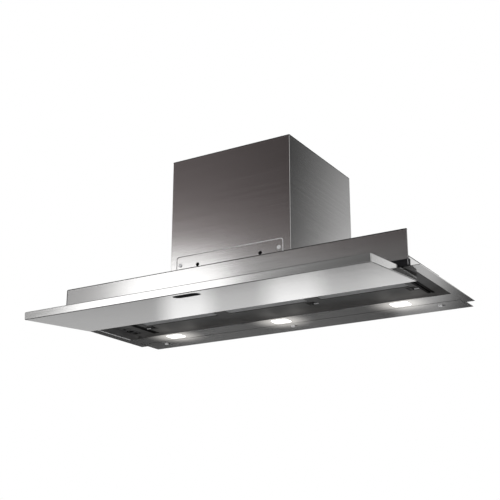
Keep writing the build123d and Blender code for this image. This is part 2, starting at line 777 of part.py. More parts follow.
# Grease filters: a frame, a mesh core and a sprung latch each
for name, (low, high) in filter_bays.items():
    side = latch_sides[name]
    frame_x = (low + filter_gap, high - filter_gap)
    frame_y = (filter_front + filter_gap, filter_rear - filter_gap)
    mesh_x = (frame_x[0] + filter_border, frame_x[1] - filter_border)
    mesh_y = (frame_y[0] + filter_border, frame_y[1] - filter_rear_border)
    outer_end = frame_x[1] if side > 0 else frame_x[0]
    inner_end = outer_end - side * latch_border
    tongue_z = (recess_height + tongue_rise, recess_height + tongue_rise + tongue_thickness)
    tongue_y = (latch_y - tongue_width / 2, latch_y + tongue_width / 2)
    loose_y = (tongue_y[0] - fit_gap, tongue_y[1] + fit_gap)
    loose_z = (tongue_z[0] - fit_gap, tongue_z[1] + fit_gap)

    with BuildPart() as filter_frame:
        block(frame_x, frame_y, (recess_height, filter_top))
        block(mesh_x, mesh_y, (recess_height, filter_top), Mode.SUBTRACT)
        block((inner_end, outer_end), loose_y, loose_z, Mode.SUBTRACT)
        # Pocket in the wide rear border where the latch slides
        room_x = (inner_end, inner_end - side * (latch_length + latch_room))
        room_half = (latch_width + latch_room) / 2
        room_y = (latch_y - room_half, latch_y + room_half)
        block(room_x, room_y, (recess_height, recess_height + latch_rise + fit_gap), Mode.SUBTRACT)
    save(filter_frame, f"filter_frame_{name}")

    mesh_low = recess_height + (filter_thickness - mesh_thickness) / 2
    mesh_mid = ((mesh_x[0] + mesh_x[1]) / 2, (mesh_y[0] + mesh_y[1]) / 2)
    columns = int((mesh_x[1] - mesh_x[0] - mesh_bar) // mesh_pitch)
    rows = int((mesh_y[1] - mesh_y[0] - mesh_bar) // mesh_pitch)
    with BuildPart() as filter_mesh:
        with BuildSketch(Plane.XY.offset(mesh_low)):
            with Locations(mesh_mid):
                Rectangle(mesh_x[1] - mesh_x[0], mesh_y[1] - mesh_y[0])
                with GridLocations(mesh_pitch, mesh_pitch, columns, rows):
                    hole = mesh_pitch - mesh_bar
                    Rectangle(hole, hole, mode=Mode.SUBTRACT)
        extrude(amount=mesh_thickness)
    save(filter_mesh, f"filter_mesh_{name}")

    with BuildPart() as filter_latch:
        body_end = inner_end - side * fit_gap
        body_x = (body_end - side * latch_length, body_end)
        body_y = (latch_y - latch_width / 2, latch_y + latch_width / 2)
        block(body_x, body_y, (recess_height - latch_drop, recess_height + latch_rise))
        fillet(filter_latch.edges().filter_by(Axis.Z), thin_sheet)
        # Finger hollow in the underside
        pull_x = (body_x[0] + side * latch_wall, body_x[1] - side * latch_wall)
        pull_y = (body_y[0] + latch_wall, body_y[1] - latch_wall)
        block(pull_x, pull_y, (recess_height - latch_drop, tongue_z[0]), Mode.SUBTRACT)
        tip = outer_end + side * (filter_gap + tongue_reach)
        block((body_end, tip), tongue_y, tongue_z)
    save(filter_latch, f"filter_latch_{name}")

# Visor tray with the finger hole in its floor
with BuildPart(slide_plane) as visor_tray:
    half = visor_half_width
    block((-half, half), (0, visor_depth), (0, visor_height))
    fillet(visor_tray.edges().filter_by(visor_up), visor_corner)
    fillet(visor_tray.faces().sort_by(visor_up)[0].edges(), visor_fold)
    fillet(visor_tray.faces().sort_by(visor_up)[-1].edges(), visor_lip)
    inside = (-half + sheet, half - sheet)
    block(inside, (sheet, visor_depth - sheet), (sheet, visor_height), Mode.SUBTRACT)
    with BuildSketch(slide_plane):
        with Locations((0, cup_setback)):
            SlotOverall(cup_length, cup_width)
    extrude(amount=sheet, mode=Mode.SUBTRACT)
save(visor_tray, "visor_tray")

# Visor lid, set flush between the tray's walls
with BuildPart(slide_plane) as visor_lid:
    half = visor_half_width - sheet - fit_gap
    lid_y = (sheet + fit_gap, visor_depth - sheet - fit_gap)
    block((-half, half), lid_y, (visor_height - thin_sheet, visor_height))
save(visor_lid, "visor_lid")

# Finger cup, set in the tray's floor from inside
with BuildPart(slide_plane) as finger_cup:
    with BuildSketch(slide_plane):
        with Locations((0, cup_setback)):
            SlotOverall(cup_length - 2 * running_gap, cup_width - 2 * running_gap)
    extrude(amount=cup_depth)
    with BuildSketch(slide_plane.offset(sheet)):
        with Locations((0, cup_setback)):
            SlotOverall(cup_length + 2 * cup_rim, cup_width + 2 * cup_rim)
    extrude(amount=cup_wall)
    with BuildSketch(slide_plane):
        with Locations((0, cup_setback)):
            SlotOverall(cup_length - 2 * cup_wall, cup_width - 2 * cup_wall)
    extrude(amount=cup_depth - cup_wall, mode=Mode.SUBTRACT)
save(finger_cup, "finger_cup")

# Arms, rollers and rails on each side
for name, side in {"left": -1, "right": 1}.items():
    with BuildPart(slide_plane) as visor_arm:
        web_x = (side * arm_inner, side * arm_outer)
        neck_y = (arm_front, arm_front + arm_neck_length)
        block(web_x, neck_y, (visor_height, rail_lift))
        plate_y = (arm_front, arm_front + arm_reach)
        block(web_x, plate_y, (rail_lift, rail_lift + rail_tall))
        foot_x = (side * (arm_inner - arm_foot_width), side * arm_inner)
        foot_y = (arm_front, arm_front + arm_foot_length)
        block(foot_x, foot_y, (visor_height, visor_height + arm_foot_thickness))
        for axle_y in axle_fronts.values():
            axle_x = (side * arm_outer, side * (roller_inner + roller_width + fit_gap))
            rod_x(axle_radius, *axle_x, axle_y, roller_lift)
    save(visor_arm, f"visor_arm_{name}")

    for place, axle_y in axle_fronts.items():
        with BuildPart(slide_plane) as roller:
            roller_x = (side * roller_inner, side * (roller_inner + roller_width))
            rod_x(roller_radius, *roller_x, axle_y, roller_lift)
            fillet(roller.edges().filter_by(GeomType.CIRCLE), fit_gap)
            rod_x(axle_radius + running_gap, *roller_x, axle_y, roller_lift, Mode.SUBTRACT)
        save(roller, f"roller_{name}_{place}")

    with BuildPart(slide_plane) as slide_rail:
        rail_z = (rail_lift, rail_lift + rail_tall)
        block((side * rail_inner, side * rail_outer), rail_y, rail_z)
        bore_x = (side * rail_inner, side * (rail_outer - rail_wall))
        bore_z = (rail_lift + rail_wall, rail_lift + rail_tall - rail_wall)
        block(bore_x, rail_y, bore_z, Mode.SUBTRACT)
        # Wedge web and foot that stand the sloping rail on the level deck
        high_front = tilted(rail_y[0], rail_lift + rail_wall / 2)
        high_rear = tilted(rail_y[1], rail_lift + rail_wall / 2)
        with BuildSketch(Plane.YZ.offset(side * (rail_outer - rail_wall))):
            with BuildLine():
                Polyline(
                    (high_front[0], deck_top),
                    (high_rear[0], deck_top),
                    high_rear,
                    high_front,
                    close=True,
                )
            make_face()
        extrude(amount=side * rail_wall)
        foot_front = (high_front[0] + high_rear[0]) / 2
        with BuildSketch(Plane.YZ.offset(side * rail_inner)):
            with BuildLine():
                Polyline(
                    (foot_front, deck_top),
                    (high_rear[0], deck_top),
                    (high_rear[0], deck_top + rail_wall),
                    (foot_front, deck_top + rail_wall),
                    close=True,
                )
            make_face()
        extrude(amount=side * rail_width)
    save(slide_rail, f"slide_rail_{name}")

# Controls: bezel, switch block, speed knob and two push buttons
bezel_low = recess_height - bezel_thickness
button_ys = {"light": control_y - button_offset, "boost": control_y + button_offset}
with BuildPart() as control_bezel:
    with BuildSketch(Plane.XY.offset(bezel_low)):
        with Locations((control_x, control_y)):
            RectangleRounded(bezel_width, bezel_length, bezel_corner)
            Circle(knob_radius + fit_gap, mode=Mode.SUBTRACT)
        with Locations(*[(control_x, y) for y in button_ys.values()]):
            Rectangle(
                button_width + 2 * fit_gap,
                button_length + 2 * fit_gap,
                mode=Mode.SUBTRACT,
            )
    extrude(amount=bezel_thickness)
save(control_bezel, "control_bezel")

with BuildPart() as switch_block:
    block(
        (control_x - switch_width / 2, control_x + switch_width / 2),
        (control_y - bezel_length / 2, control_y + bezel_length / 2),
        (deck_top, switch_top),
    )
    fillet(switch_block.edges().filter_by(Axis.Z), thin_sheet)
    shaft_top = recess_height - fit_gap + knob_shaft_length
    bore = knob_shaft_radius + running_gap
    rod_z(bore, control_x, control_y, deck_top, shaft_top + fit_gap, Mode.SUBTRACT)
    for y in button_ys.values():
        half_x = button_width / 2 + fit_gap
        half_y = button_length / 2 + fit_gap
        pocket_top = recess_height + button_rise + button_travel + fit_gap
        pocket_x = (control_x - half_x, control_x + half_x)
        block(pocket_x, (y - half_y, y + half_y), (deck_top, pocket_top), Mode.SUBTRACT)
save(switch_block, "switch_block")

knob_top = recess_height - fit_gap
with BuildPart() as speed_knob:
    rod_z(knob_radius, control_x, control_y, recess_height - knob_drop, knob_top)
    fillet(speed_knob.edges().group_by(Axis.Z)[0], fit_gap)
    rod_z(knob_shaft_radius, control_x, control_y, knob_top, knob_top + knob_shaft_length)
    # Pointer groove across half of the face
    groove_y = (control_y, control_y + knob_radius)
    groove_x = (control_x - thin_sheet / 2, control_x + thin_sheet / 2)
    groove_z = (recess_height - knob_drop, recess_height - knob_drop + thin_sheet / 2)
    block(groove_x, groove_y, groove_z, Mode.SUBTRACT)
save(speed_knob, "speed_knob")

for name, y in button_ys.items():
    with BuildPart() as push_button:
        half_x = button_width / 2
        half_y = button_length / 2
        button_z = (recess_height - button_drop, recess_height + button_rise)
        block((control_x - half_x, control_x + half_x), (y - half_y, y + half_y), button_z)
        fillet(push_button.edges().filter_by(Axis.Z), thin_sheet)
        fillet(push_button.edges().group_by(Axis.Z)[0], fit_gap)
    save(push_button, f"button_{name}")
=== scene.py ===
import bpy
import bmesh
import json
from math import atan2, cos, pi, radians, sin
from mathutils import Matrix, Vector


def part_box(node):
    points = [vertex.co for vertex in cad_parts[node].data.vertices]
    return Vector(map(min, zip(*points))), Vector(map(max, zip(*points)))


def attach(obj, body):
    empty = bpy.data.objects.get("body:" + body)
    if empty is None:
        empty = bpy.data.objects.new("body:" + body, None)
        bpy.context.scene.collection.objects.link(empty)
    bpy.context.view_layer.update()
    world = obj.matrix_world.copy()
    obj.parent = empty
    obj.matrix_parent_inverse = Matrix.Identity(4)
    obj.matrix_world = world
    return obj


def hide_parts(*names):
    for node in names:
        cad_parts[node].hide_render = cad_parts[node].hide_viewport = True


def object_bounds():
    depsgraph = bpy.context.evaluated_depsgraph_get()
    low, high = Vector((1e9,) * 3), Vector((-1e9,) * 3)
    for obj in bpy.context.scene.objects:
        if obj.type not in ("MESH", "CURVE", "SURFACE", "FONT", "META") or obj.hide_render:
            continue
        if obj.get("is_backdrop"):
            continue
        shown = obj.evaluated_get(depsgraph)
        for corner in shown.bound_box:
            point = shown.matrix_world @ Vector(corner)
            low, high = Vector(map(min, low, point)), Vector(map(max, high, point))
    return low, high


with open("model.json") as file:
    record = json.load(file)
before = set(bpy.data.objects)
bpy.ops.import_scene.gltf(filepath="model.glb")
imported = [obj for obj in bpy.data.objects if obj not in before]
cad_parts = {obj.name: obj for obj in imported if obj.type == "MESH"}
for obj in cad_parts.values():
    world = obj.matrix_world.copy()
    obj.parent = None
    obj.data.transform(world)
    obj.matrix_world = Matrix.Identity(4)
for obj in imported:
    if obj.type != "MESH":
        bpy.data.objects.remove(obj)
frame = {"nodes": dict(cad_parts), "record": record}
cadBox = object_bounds()
nodes = frame["nodes"]
scene = bpy.context.scene
sides = ("left", "middle", "right")
mm = 0.001
print("frame loaded,", len(nodes), "pieces")


# Shader values that can be added and multiplied
class Wire:
    def __init__(self, tree, socket=None):
        self.tree = tree
        self.socket = socket

    # any node: its type, its settings, then its sockets
    def node(self, kind, settings=None, sockets=None, out=0):
        made = self.tree.nodes.new(kind)
        for name, value in (settings or {}).items():
            if name == "stops":
                stops = made.color_ramp.elements
                while len(stops) < len(value):
                    stops.new(1.0)
                for stop, (spot, colour) in zip(stops, value):
                    stop.position = spot
                    stop.color = (*colour, 1.0)
            else:
                setattr(made, name, value)
        for name, value in (sockets or {}).items():
            if isinstance(value, Wire):
                self.tree.links.new(value.socket, made.inputs[name])
            else:
                made.inputs[name].default_value = value
        return Wire(self.tree, made.outputs[out] if made.outputs else None)

    def math(self, operation, first, second):
        return self.node("ShaderNodeMath", {"operation": operation}, {0: first, 1: second})

    def __add__(self, other):
        return self.math("ADD", self, other)

    def __mul__(self, other):
        return self.math("MULTIPLY", self, other)

    __radd__ = __add__
    __rmul__ = __mul__


def newFinish(name):
    finish = bpy.data.materials.new(name)
    finish.use_nodes = True
    finish.node_tree.nodes.clear()
    return finish, Wire(finish.node_tree)


def surface(wire, sockets):
    shader = wire.node("ShaderNodeBsdfPrincipled", None, sockets)
    wire.node("ShaderNodeOutputMaterial", None, {"Surface": shader})


def objectPlace(wire):
    return wire.node("ShaderNodeTexCoord", out="Object")


def noise(wire, scale, detail=3.0, roughness=0.55):
    stretched = wire.node("ShaderNodeMapping", None, {"Vector": objectPlace(wire), "Scale": scale})
    return wire.node("ShaderNodeTexNoise", None,
                     {"Vector": stretched, "Scale": 1.0, "Detail": detail, "Roughness": roughness})


def ramp(wire, value, *stops):
    return wire.node("ShaderNodeValToRGB", {"stops": stops}, {"Fac": value})


def bump(wire, height, distance):
    return wire.node("ShaderNodeBump", None, {"Height": height, "Distance": distance})


# Painted light of the lamps on the sheet around them, 0 to 1
halo = {"near": 12.0 * mm, "far": 100.0 * mm, "glow": (0.58, 0.56, 0.53)}


def lampHalo(wire, look=halo):
    nearness = []
    for side in sides:
        low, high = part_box(f"lamp_lens_{side}")
        away = wire.node("ShaderNodeVectorMath", {"operation": "DISTANCE"},
                         {0: objectPlace(wire), 1: (low + high) / 2}, out="Value")
        nearness.append(wire.node("ShaderNodeMapRange", {"interpolation_type": "SMOOTHSTEP"},
                                  {"Value": away, "From Min": look["near"], "From Max": look["far"],
                                   "To Min": 1.0, "To Max": 0.0}))
    share = sum(nearness)
    return share * share


# Brushed stainless sheet, whose grain runs along the axes with the small scale
steel = {
    "dark": (0.56, 0.555, 0.55),
    "light": (0.665, 0.66, 0.655),
    "rough": 0.085,
    "grainRough": 0.05,
    "grainDepth": 0.012 * mm,
    "hair": 0.37,  # scale of the coarser hairs, to that of the grain
    "hairShare": 0.4,
    "smudge": (5.0, 7.0, 6.0),
    "smudgeRough": 0.03,
}


def brushedSteel(name, grain, lit=False, look=steel):
    finish, wire = newFinish(name)
    fine = noise(wire, grain, detail=6.0, roughness=0.7)
    hair = noise(wire, tuple(g * look["hair"] for g in grain), roughness=0.6)
    smudge = noise(wire, look["smudge"], detail=4.0, roughness=0.6)
    streak = fine * (1 - look["hairShare"]) + hair * look["hairShare"]
    sockets = {
        "Base Color": ramp(wire, streak, (0.3, look["dark"]), (0.7, look["light"])),
        "Roughness": streak * look["grainRough"] + smudge * look["smudgeRough"] + look["rough"],
        "Normal": bump(wire, streak, look["grainDepth"]),
        "Metallic": 1.0,
    }
    # painted light: the lamps' glow painted on the steel round them as emission
    if lit:
        glow = ramp(wire, lampHalo(wire), (0.0, (0.0, 0.0, 0.0)), (1.0, halo["glow"]))
        sockets |= {"Emission Color": glow, "Emission Strength": 1.0}
    surface(wire, sockets)
    return finish


# Zinc coated sheet with its spangle
galvanised = {
    "dark": (0.36, 0.375, 0.39),
    "light": (0.56, 0.575, 0.59),
    "cell": 130.0,
    "cellShare": 0.55,
    "cloud": (16.0, 16.0, 16.0),
    "rough": 0.36,
    "mixRough": 0.22,
    "relief": 0.06 * mm,
}


def galvanisedSheet(name, look=galvanised):
    finish, wire = newFinish(name)
    spangle = wire.node("ShaderNodeTexVoronoi", {"feature": "F1"},
                        {"Vector": objectPlace(wire), "Scale": look["cell"]}, out="Color")
    cell = wire.node("ShaderNodeSeparateColor", None, {"Color": spangle})
    cloud = noise(wire, look["cloud"], detail=5.0)
    mix = cell * look["cellShare"] + cloud * (1 - look["cellShare"])
    surface(wire, {
        "Base Color": ramp(wire, mix, (0.2, look["dark"]), (0.8, look["light"])),
        "Roughness": mix * look["mixRough"] + look["rough"],
        "Normal": bump(wire, mix, look["relief"]),
        "Metallic": 1.0,
    })
    return finish


# Fine scratches, alone and mixed with soft clouds
scratch = {"cloud": (30.0, 30.0, 30.0), "cloudShare": 0.5, "rough": 0.16, "relief": 0.03 * mm}


def scratches(wire, scale, look=scratch):
    fine = noise(wire, scale, detail=5.0, roughness=0.7)
    cloud = noise(wire, look["cloud"])
    return fine, fine * (1 - look["cloudShare"]) + cloud * look["cloudShare"]


# Plated, drawn or dull metal
def finePlate(name, dark, light, rough, scale=(260.0, 260.0, 260.0), metallic=1.0):
    finish, wire = newFinish(name)
    fine, mix = scratches(wire, scale)
    surface(wire, {
        "Base Color": ramp(wire, mix, (0.3, dark), (0.7, light)),
        "Roughness": mix * scratch["rough"] + rough,
        "Normal": bump(wire, fine, scratch["relief"]),
        "Metallic": metallic,
    })
    return finish


# Dark grey sheet of the recess that paints its shade, with painted light of the lamps towards the lamp bar
recessShadeAndGlow = {
    "dark": (0.095, 0.095, 0.095),
    "light": (0.125, 0.125, 0.125),
    "scale": (8.0, 500.0, 500.0),
    "rough": 0.42,
    "metallic": 0.1,
    "glow": (1.0, 0.98, 0.96),
    "glowFrom": 52.0 * mm,
    "glowTo": 106.0 * mm,
    "nearLamps": 0.03,
    "betweenLamps": 0.06,
}


def paintedShadeSheet(name, look=recessShadeAndGlow):
    finish, wire = newFinish(name)
    fine, mix = scratches(wire, look["scale"])
    # painted light: a glow that rises towards the lamp bar and round the lamps
    deep = wire.node("ShaderNodeSeparateXYZ", None, {"Vector": objectPlace(wire)}, out="Y")
    share = wire.node("ShaderNodeMapRange", {"interpolation_type": "SMOOTHSTEP"},
                      {"Value": deep, "From Min": look["glowFrom"], "From Max": look["glowTo"]})
    level = share * (lampHalo(wire) * look["nearLamps"] + mix * look["betweenLamps"])
    surface(wire, {
        # painted shade: the dark grey stands in for the shade of the recess
        "Base Color": ramp(wire, mix, (0.3, look["dark"]), (0.7, look["light"])),
        "Roughness": mix * scratch["rough"] + look["rough"],
        "Normal": bump(wire, fine, scratch["relief"]),
        "Metallic": look["metallic"],
        "Emission Color": ramp(wire, level, (0.0, (0.0, 0.0, 0.0)), (1.0, look["glow"])),
        "Emission Strength": 1.0,
    })
    return finish


# Moulded plastic with an eroded grain and a little dust
plastic = {"dust": (24.0, 24.0, 24.0), "dustShare": 0.7, "dustRough": 0.14, "grainRough": 0.08,
           "relief": 0.06 * mm}


def mouldedPlastic(name, dark, light, rough, grain=1400.0, shine=0.5, look=plastic):
    finish, wire = newFinish(name)
    fine = noise(wire, (grain, grain, grain), detail=4.0, roughness=0.6)
    dust = noise(wire, look["dust"], detail=5.0, roughness=0.65)
    mix = dust * look["dustShare"] + fine * (1 - look["dustShare"])
    surface(wire, {
        "Base Color": ramp(wire, mix, (0.35, dark), (0.75, light)),
        "Roughness": dust * look["dustRough"] + fine * look["grainRough"] + rough,
        "Normal": bump(wire, fine, look["relief"]),
        "Specular IOR Level": shine,
    })
    return finish


# Frosted lens with the light of the emitters behind it
lamp = {
    "pitch": 9.0 * mm,
    "glow": (1.0, 0.99, 0.97),
    "between": (0.9, 0.9, 0.88),
    "strength": 1.8,
    "pale": (0.95, 0.96, 0.97),
    "dull": (0.82, 0.83, 0.84),
    "frost": (900.0, 900.0, 900.0),
    "frostShare": 0.1,
    "frostRough": 0.2,
    "rough": 0.35,
    "relief": 0.05 * mm,
}


def lampGlow(name, look=lamp):
    finish, wire = newFinish(name)
    dots = wire.node("ShaderNodeTexVoronoi", {"feature": "F1"},
                     {"Vector": objectPlace(wire), "Scale": 1.0 / look["pitch"], "Randomness": 0.0},
                     out="Distance")
    frost = noise(wire, look["frost"])
    level = dots * (1 - look["frostShare"]) + frost * look["frostShare"]
    surface(wire, {
        "Base Color": ramp(wire, level, (0.1, look["pale"]), (0.8, look["dull"])),
        "Roughness": frost * look["frostRough"] + look["rough"],
        "Normal": bump(wire, frost, look["relief"]),
        "Emission Color": ramp(wire, level, (0.15, look["glow"]), (0.75, look["between"])),
        "Emission Strength": look["strength"],
    })
    return finish


# Edge of the access cover, in painted shade at its left end that fades into a painted highlight at its right
hemShadeAndHighlight = {
    "left": -120.0 * mm,
    "right": 60.0 * mm,
    "dark": (0.13, 0.13, 0.13),
    "pale": (0.85, 0.85, 0.86),
    "scale": (20.0, 600.0, 600.0),
    "grainShare": 0.1,
    "rough": 0.25,
    "grainRough": 0.15,
    "relief": 0.03 * mm,
    "metallic": 0.2,
}


def hemShadeToHighlight(name, look=hemShadeAndHighlight):
    finish, wire = newFinish(name)
    fine = noise(wire, look["scale"], detail=4.0, roughness=0.6)
    # painted shade and highlight: the colour runs from dark to pale along X
    along = wire.node("ShaderNodeSeparateXYZ", None, {"Vector": objectPlace(wire)}, out="X")
    share = wire.node("ShaderNodeMapRange", None,
                      {"Value": along, "From Min": look["left"], "From Max": look["right"]})
    tone = share + fine * look["grainShare"]
    surface(wire, {
        "Base Color": ramp(wire, tone, (0.05, look["dark"]), (0.95, look["pale"])),
        "Roughness": fine * look["grainRough"] + look["rough"],
        "Normal": bump(wire, fine, look["relief"]),
        "Metallic": look["metallic"],
    })
    return finish


finishes = {
    "brushed_steel": brushedSteel("steelAlongX", (5.0, 800.0, 800.0)),
    "steel_painted_lamp_glow": brushedSteel("steelPaintedLampGlow", (5.0, 800.0, 800.0), lit=True),
    "box_steel": brushedSteel("steelRoundBox", (5.0, 5.0, 900.0)),
    "galvanised_sheet": galvanisedSheet("galvanisedSheet"),
    "shaded_sheet": paintedShadeSheet("paintedShadeSheet"),
    "zinc_fasteners": finePlate("zincPlate", (0.82, 0.82, 0.83), (0.92, 0.92, 0.93), 0.2, metallic=0.35),
    "hem_grey": finePlate("hemGrey", (0.44, 0.44, 0.45), (0.54, 0.54, 0.55), 0.3, (8.0, 600.0, 600.0), 0.3),
    "hem_painted_shade_highlight": hemShadeToHighlight("coverHem"),
    "bezel_grey": mouldedPlastic("bezelGrey", (0.085, 0.085, 0.086), (0.125, 0.125, 0.126), 0.4),
    "latch_dark": finePlate("latchDark", (0.05, 0.05, 0.05), (0.08, 0.08, 0.08), 0.4, metallic=0.2),
    "dark_rail": finePlate("darkAnodised", (0.02, 0.02, 0.022), (0.06, 0.06, 0.064), 0.3,
                           (12.0, 600.0, 600.0)),
    "black_plastic": mouldedPlastic("blackPlastic", (0.010, 0.010, 0.011), (0.024, 0.024, 0.026), 0.42),
    "control_plastic": mouldedPlastic("controlPlastic", (0.006, 0.006, 0.006), (0.013, 0.013, 0.013), 0.4,
                                      shine=0.12),
    "blower_plastic": mouldedPlastic("blowerPlastic", (0.11, 0.115, 0.12), (0.18, 0.185, 0.19), 0.45),
    "motor_can": finePlate("drawnCan", (0.48, 0.48, 0.49), (0.62, 0.62, 0.63), 0.28, (40.0, 500.0, 500.0)),
    "lamp_lens": lampGlow("lampLens"),
    "filter_aluminium": finePlate("filterAluminium", (0.50, 0.505, 0.51), (0.66, 0.665, 0.67), 0.3,
                                  (12.0, 700.0, 700.0), 0.5),
    "roller_nylon": mouldedPlastic("rollerNylon", (0.74, 0.73, 0.69), (0.84, 0.83, 0.79), 0.34, 900.0),
    "seal_rubber": mouldedPlastic("sealRubber", (0.006, 0.006, 0.006), (0.014, 0.014, 0.014), 0.6),
    "mark_grey": mouldedPlastic("markGrey", (0.42, 0.42, 0.42), (0.52, 0.52, 0.52), 0.4),
}
# pieces that don't wear the finish of their slot
ownFinish = {
    # the lamp bar and rear strip wear steel with the lamps' glow painted on
    "base_frame": "steel_painted_lamp_glow",
    "rear_strip": "steel_painted_lamp_glow",
    "box_wrap": "box_steel",
    "access_cover": "box_steel",
    "box_back": "box_steel",
    # the recess deck and lamp housings wear the dark grey of painted shade
    "recess_deck": "shaded_sheet",
    "control_bezel": "bezel_grey",
    "lamp_housings": "shaded_sheet",
}
# the filter frames too wear the painted shade of the recess
for side in sides:
    ownFinish |= {f"filter_frame_{side}": "shaded_sheet", f"filter_latch_{side}": "latch_dark"}
for piece in frame["record"]["subparts"]:
    name = piece["node"]
    mesh = nodes[name].data
    mesh.materials.clear()
    mesh.materials.append(finishes[ownFinish.get(name, piece["material_slot"])])
print("finishes on every piece")


# Helpers for new pieces
weldDistance = 0.0001 * mm


def addPiece(name, shape, finish, body, stands=()):
    bmesh.ops.remove_doubles(shape, verts=shape.verts, dist=weldDistance)
    bmesh.ops.recalc_face_normals(shape, faces=shape.faces)
    mesh = bpy.data.meshes.new(name)
    shape.to_mesh(mesh)
    shape.free()
    mesh.materials.append(finishes[finish])
    piece = bpy.data.objects.new(name, mesh)
    scene.collection.objects.link(piece)
    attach(piece, body)
    if stands:
        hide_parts(*stands)


# lays verts drawn on XY and growing along +Z onto a place and a direction
def lay(shape, verts, spot, towards):
    turn = Vector((0, 0, 1)).rotation_difference(Vector(towards)).to_matrix().to_4x4()
    bmesh.ops.transform(shape, matrix=Matrix.Translation(spot) @ turn, verts=verts)


# stands a whole shape that is drawn on XY upright on a place
def standUp(shape, spot):
    upright = Matrix.Translation(spot) @ Matrix.Rotation(pi / 2, 4, "X")
    bmesh.ops.transform(shape, matrix=upright, verts=shape.verts)


# spins a profile of (radius, height) pairs round Z and gives its verts, with both ends open
def spinProfile(shape, profile, steps):
    before = set(shape.verts)
    chain = [shape.verts.new((x, 0, z)) for x, z in profile]
    edges = [shape.edges.new(pair) for pair in zip(chain, chain[1:])]
    bmesh.ops.spin(shape, geom=chain + edges, cent=(0, 0, 0), axis=(0, 0, 1), angle=2 * pi,
                   steps=steps, use_merge=True)
    return [v for v in shape.verts if v not in before]


# a turned piece, closed at both ends, on a place and a direction
def addTurned(shape, profile, spot, towards, steps=24):
    made = spinProfile(shape, profile, steps)
    ends = {e for v in made for e in v.link_edges if e.is_boundary}
    bmesh.ops.holes_fill(shape, edges=list(ends), sides=steps)
    lay(shape, made, spot, towards)


def addBlock(shape, low, high, rounding):
    low, high = Vector(low), Vector(high)
    made = bmesh.ops.create_cube(shape, size=1.0)["verts"]
    bmesh.ops.scale(shape, vec=high - low, verts=made)
    bmesh.ops.translate(shape, vec=(low + high) / 2, verts=made)
    edges = list({e for v in made for e in v.link_edges})
    bmesh.ops.bevel(shape, geom=edges, offset=rounding, offset_type="OFFSET", affect="EDGES",
                    segments=2, profile=0.5, material=-1)


# the same block right and left of the middle, from its two ends along each axis
def addBlockPair(shape, xs, ys, zs, rounding):
    for mirror in (-1, 1):
        across = sorted(mirror * x for x in xs)
        addBlock(shape, (across[0], ys[0], zs[0]), (across[1], ys[1], zs[1]), rounding)


# points of a rectangle's outline with one radius at its corners, anticlockwise from the lower right
def roundedOutline(halfWidth, halfHeight, radius, steps=6):
    points = []
    for quarter, (x, y) in enumerate(((1, -1), (1, 1), (-1, 1), (-1, -1))):
        middle = Vector((x * (halfWidth - radius), y * (halfHeight - radius)))
        for step in range(steps + 1):
            angle = (quarter - 1 + step / steps) * pi / 2
            points.append(middle + radius * Vector((cos(angle), sin(angle))))
    return points


# bridges each ring of edges to the next, and then the last to the first if closed, or else fills both ends
def bridgeRings(shape, rings, closed):
    following = rings[1:]
    if closed:
        following += rings[:1]
    for first, second in zip(rings, following):
        bmesh.ops.bridge_loops(shape, edges=list(first | second))
    if not closed:
        bmesh.ops.holes_fill(shape, edges=list(rings[0] | rings[-1]), sides=len(rings[0]))


# a round bead along an outline on XY
def addBead(shape, outline, radius, spot=(0, 0, 0), closed=True, steps=10):
    up = Vector((0, 0, 1))
    rings = []
    count = len(outline)
    for number, point in enumerate(outline):
        ahead = outline[(number + 1) % count] if closed or number + 1 < count else point
        behind = outline[number - 1] if closed or number else point
        along = (ahead - behind).to_3d().normalized()
        turn = Matrix((up, along.cross(up), along)).transposed().to_4x4()
        place = Matrix.Translation(Vector(spot) + point.to_3d()) @ turn
        ring = bmesh.ops.create_circle(shape, segments=steps, radius=radius, matrix=place)["verts"]
        rings.append({e for v in ring for e in v.link_edges})
    bridgeRings(shape, rings, closed)


# Screws with a cross recess, in shares of the head's radius and height and the shank's radius
screw = {"steps": 24, "crown": 0.62, "shoulder": (0.88, 0.84), "rim": 0.45, "tip": (0.6, 0.5), "arm": 0.56,
         "bar": 0.17, "sink": 0.55, "taper": 0.7}


def addScrew(shape, spot, towards, radius, height, shank, depth, look=screw):
    before = set(shape.verts)
    shoulder, tip = look["shoulder"], look["tip"]
    profile = [(radius * look["crown"], height), (radius * shoulder[0], height * shoulder[1]),
               (radius, height * look["rim"]), (radius, 0.0), (shank, 0.0), (shank, -depth),
               (shank * tip[0], -depth - shank * tip[1])]
    made = spinProfile(shape, profile, look["steps"])
    ends = {e for v in made for e in v.link_edges if e.is_boundary}
    rim = [e for e in ends if e.verts[0].co.z > 0]
    point = [e for e in ends if e.verts[0].co.z < 0]
    bmesh.ops.holes_fill(shape, edges=point, sides=look["steps"])
    long, thin = radius * look["arm"], radius * look["bar"]
    corners = [(long, -thin), (long, thin), (thin, thin), (thin, long), (-thin, long), (-thin, thin),
               (-long, thin), (-long, -thin), (-thin, -thin), (-thin, -long), (thin, -long), (thin, -thin)]
    cross = shape.faces.new([shape.verts.new((x, y, height)) for x, y in corners])
    bmesh.ops.bridge_loops(shape, edges=rim + list(cross.edges))
    sunk = bmesh.ops.extrude_face_region(shape, geom=[cross])
    floor = [v for v in sunk["geom"] if isinstance(v, bmesh.types.BMVert)]
    bmesh.ops.scale(shape, vec=(look["taper"], look["taper"], 1), verts=floor)
    bmesh.ops.translate(shape, vec=(0, 0, -height * look["sink"]), verts=floor)
    bmesh.ops.delete(shape, geom=[cross], context="FACES_ONLY")
    lay(shape, [v for v in shape.verts if v not in before], spot, towards)


stripScrew = {"radius": 4.5 * mm, "height": 2.2 * mm, "shank": 2.0 * mm, "depth": 4.0 * mm}
low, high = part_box("rear_strip_screws")
stripXs = (low.x + stripScrew["radius"], 0, high.x - stripScrew["radius"])
stripY = (low.y + high.y) / 2
shape = bmesh.new()
for x in stripXs:
    addScrew(shape, (x, stripY, 0), (0, 0, -1), **stripScrew)
addPiece("stripScrewHeads", shape, "zinc_fasteners", "housing", ["rear_strip_screws"])

